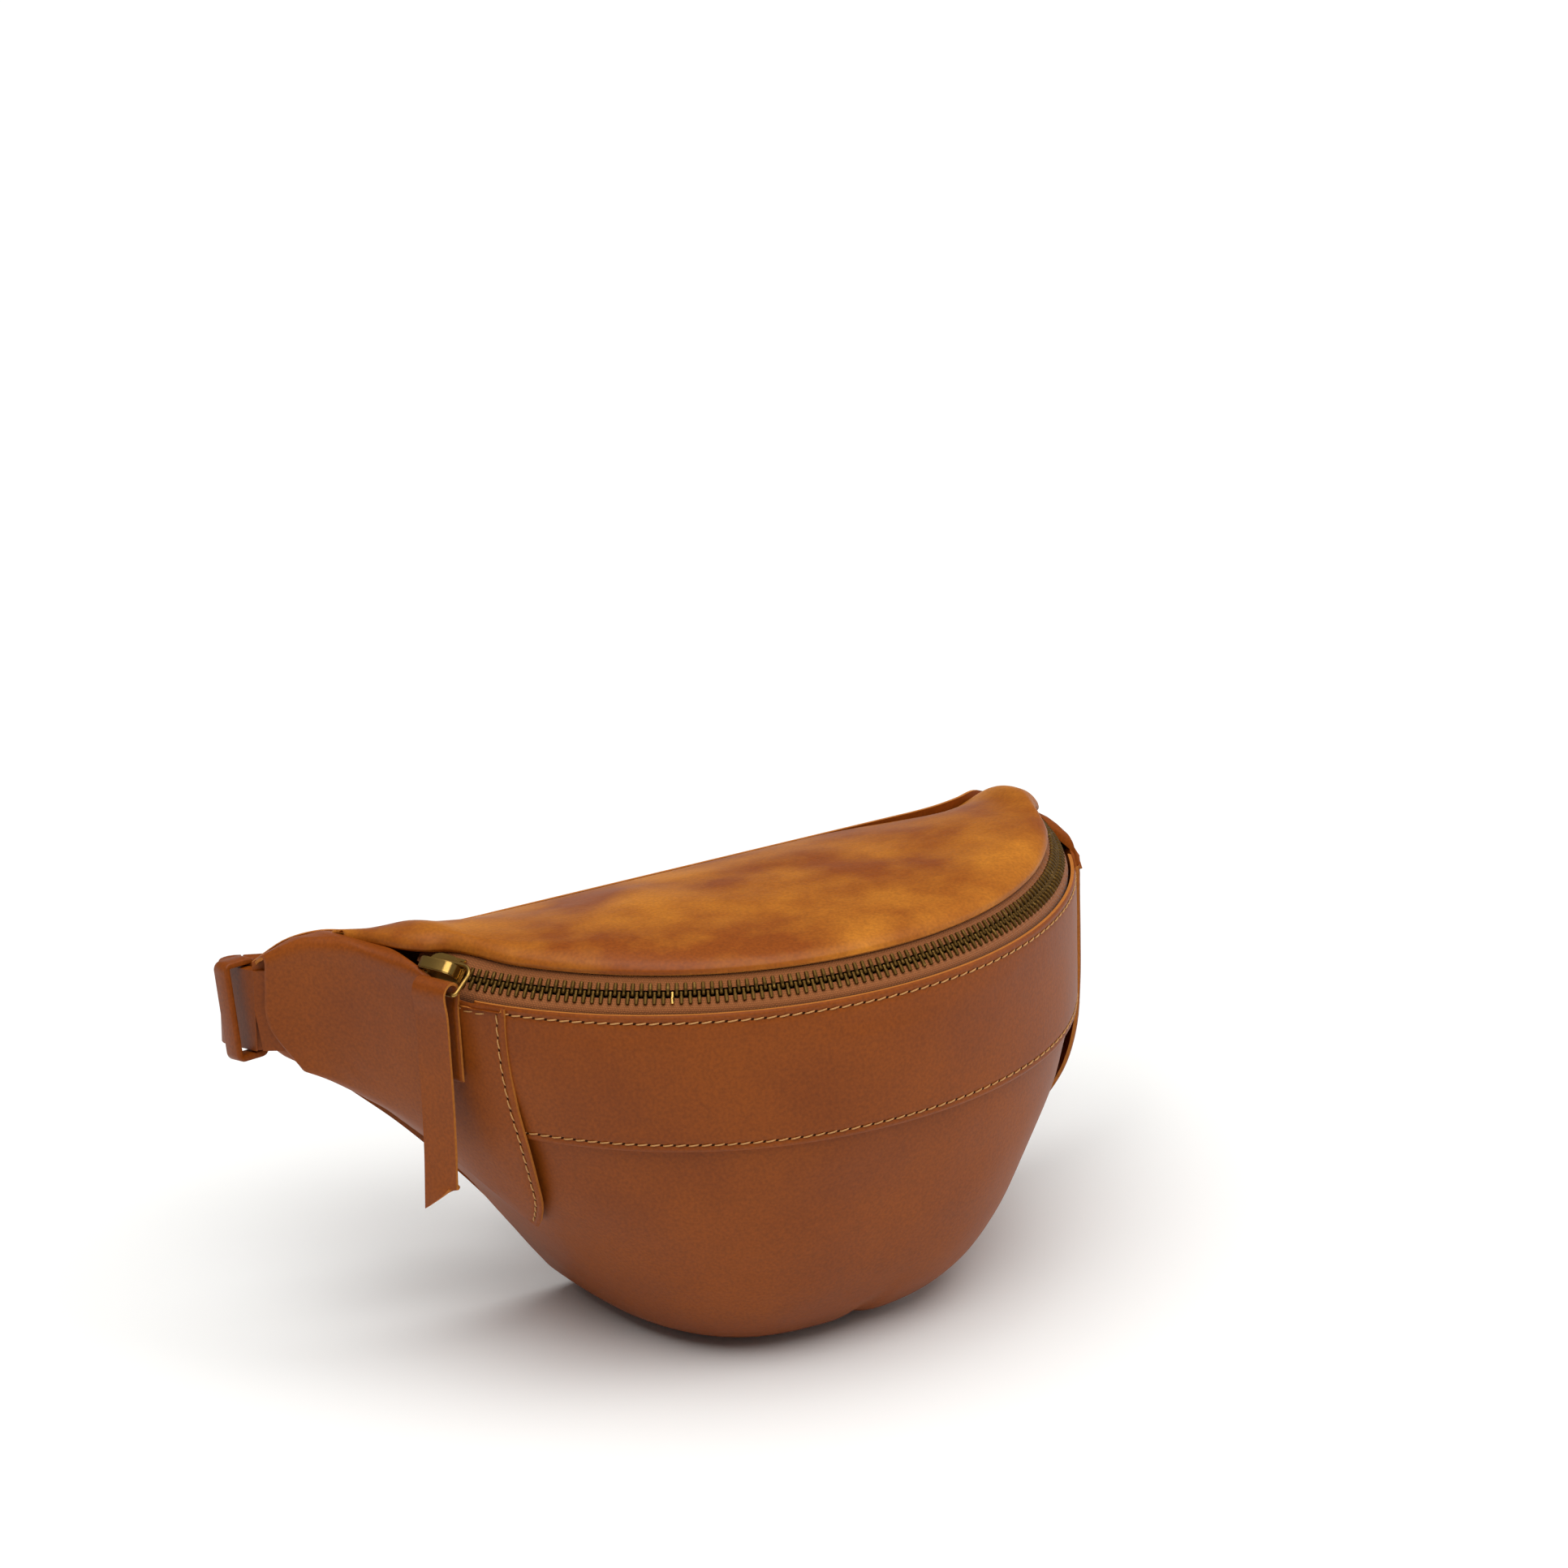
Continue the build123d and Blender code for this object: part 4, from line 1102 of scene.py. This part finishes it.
class PACK_OT_pull(bpy.types.Operator):
    """Pull: a strip of leather folded over the ring, sewn along its middle and cut off at a slant"""

    bl_idname = "pack.pull"
    bl_label = "Pull"

    def execute(self, context):
        joint = next(j for j in frame["joints"] if j["name"] == "pull_flap")
        origin = np.array(joint["pos_m"]) / MM - np.array([0.0, ORIGIN_Y, 0.0])
        x_dir = -unit(np.array(joint["axis"], float))
        z_dir = unit(np.array([0.0, 0.0, 1.0]) - x_dir * x_dir[2])
        y_dir = np.cross(z_dir, x_dir)
        path = [(1.5, -27.0), (1.5, -20.0), (1.5, -12.0), (1.6, -5.0), (2.15, -1.6), (2.2, 0.4), (1.5, 1.8),
                (0.0, 2.35), (-1.5, 1.8), (-2.2, 0.4), (-2.15, -1.6), (-1.65, -5.0), (-1.5, -12.0),
                (-1.5, -20.0),
                (-1.6, -30.0), (-1.9, -40.0), (-2.4, -50.0), (-3.1, -58.0), (-3.7, -65.5)]
        grid = []
        for y, z in path:
            line = []
            for x in (-PULL_HALF, -3.0, 0.0, 3.0, PULL_HALF):
                short = PULL_SLANT * (x + PULL_HALF) / (2 * PULL_HALF) if z < -60 else 0.0
                line.append(origin + x_dir * x + y_dir * y + z_dir * (z + short))
            grid.append(line)
        panel = Panel(np.array(grid), origin + z_dir * -1.0, 0.9, thick=1.25,
                      shape=lambda p, a, b, panel: 0.12 * wander(p, 9.0, 41.0), roll=0.4)
        top = running_length(np.array(grid))[path.index((0.0, 2.35))]
        rows = [panel.line([(top + 9.0, panel.wide / 2), (top + 30.0, panel.wide / 2)])]
        rows = panel.press(rows, 0.35, 0.8)
        obj = panel_object("pull_leather", panel, hides(), "pull_body")
        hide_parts("leather_pull")
        stitching("pull_stitches", rows, "pull_body")
        return {"FINISHED"}


# Each soft bend: its node, the bodies at its two ends, and the nodes that it meets there.
BENDS = [("left_bend", "pack", "buckle_strap", "left_tab", "left_strap"),
         ("right_bend", "pack", "long_strap", "right_tab", "right_strap"),
         ("right_fold", "long_strap", "tail_body", "right_strap", "right_tail")]


def end_towards(verts, neighbour):
    """Middle of the end of a bend that touches its neighbour."""
    other = [v.co for v in frame["nodes"][neighbour].data.vertices]
    tree = kdtree.KDTree(len(other))
    for i, co in enumerate(other):
        tree.insert(co, i)
    tree.balance()
    gaps = np.array([tree.find(Vector(v))[2] for v in verts])
    close = verts[gaps < gaps.min() + 0.8 * MM]
    return (close.min(axis=0) + close.max(axis=0)) / 2


class PACK_OT_bends(bpy.types.Operator):
    """Bends: the soft runs of strap where the straps leave the pack, remeshed finer in bridle leather"""

    bl_idname = "pack.bends"
    bl_label = "Bends"

    def execute(self, context):
        for node_name, first, second, before, after in BENDS:
            mesh = bmesh.new()
            mesh.from_mesh(frame["nodes"][node_name].data)
            bmesh.ops.remove_doubles(mesh, verts=mesh.verts, dist=0.01 * MM)
            for _round in range(3):
                long_edges = [e for e in mesh.edges if e.calc_length() > 3.0 * MM]
                bmesh.ops.subdivide_edges(mesh, edges=long_edges, cuts=1, use_grid_fill=True)
            bmesh.ops.triangulate(mesh, faces=mesh.faces)
            verts = np.array([v.co[:] for v in mesh.verts])
            faces = [[v.index for v in f.verts] for f in mesh.faces]
            mesh.free()
            bridle = [materials()["leather_strap_bridle"]]
            obj = finish_mesh(f"{node_name}_leather", verts / MM, faces, bridle, None,
                              offset=False)
            start, end = end_towards(verts, before), end_towards(verts, after)
            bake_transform(obj)
            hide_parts(node_name)
        return {"FINISHED"}


class PACK_OT_carried(bpy.types.Operator):
    """Straps, buckle and lining: the pieces that keep the frame's own shape"""

    bl_idname = "pack.carried"
    bl_label = "Straps, buckle and lining"

    def execute(self, context):
        straps = ["left_tab", "right_tab", "left_strap", "buckle_keeper", "right_strap", "right_tail",
                  "left_keeper"]
        paint(["zip_stops", "buckle_frame", "buckle_prong"], "brass_antiqued_cast")
        paint(straps, "leather_strap_bridle")
        paint(["lining", "lining_back"], "cotton_lining_plain_weave")
        for name in ("left_strap", "right_strap", "buckle_keeper", "left_keeper"):
            soften(name, 0.5 * MM)
        return {"FINISHED"}


# ------------------------------------------------------------------ add-on
STEPS = [PACK_OT_stage, PACK_OT_front_panel, PACK_OT_front_band, PACK_OT_wings, PACK_OT_top_panel,
         PACK_OT_back_panel, PACK_OT_zip, PACK_OT_slider, PACK_OT_pull, PACK_OT_bends, PACK_OT_carried]


class PACK_PT_sidebar(bpy.types.Panel):
    """Lists the pieces in the 3D view's sidebar"""

    bl_idname = "PACK_PT_sidebar"
    bl_label = "Waist pack"
    bl_space_type = "VIEW_3D"
    bl_region_type = "UI"
    bl_category = "Waist pack"

    def draw(self, context):
        for group in (context.scene.pack_colours, context.scene.pack_sizes, context.scene.stage_settings):
            for key in group.__annotations__:
                self.layout.prop(group, key)
        for step in STEPS:
            self.layout.operator(step.bl_idname)


GROUPS = {"pack_colours": PackColours, "pack_sizes": PackSizes, "stage_settings": StageSettings}


def register():
    """Register the settings, the operators and the panel."""
    for key, group in GROUPS.items():
        bpy.utils.register_class(group)
        setattr(bpy.types.Scene, key, bpy.props.PointerProperty(type=group))
    for item in [*STEPS, PACK_PT_sidebar]:
        bpy.utils.register_class(item)


def unregister():
    """Take them out again."""
    for item in [PACK_PT_sidebar, *reversed(STEPS)]:
        bpy.utils.unregister_class(item)
    for key, group in GROUPS.items():
        delattr(bpy.types.Scene, key)
        bpy.utils.unregister_class(group)


def main():
    """Build the whole pack."""
    register()
    for step in STEPS:
        module, name = step.bl_idname.split(".")
        getattr(getattr(bpy.ops, module), name)()


if __name__ == "__main__":
    main()
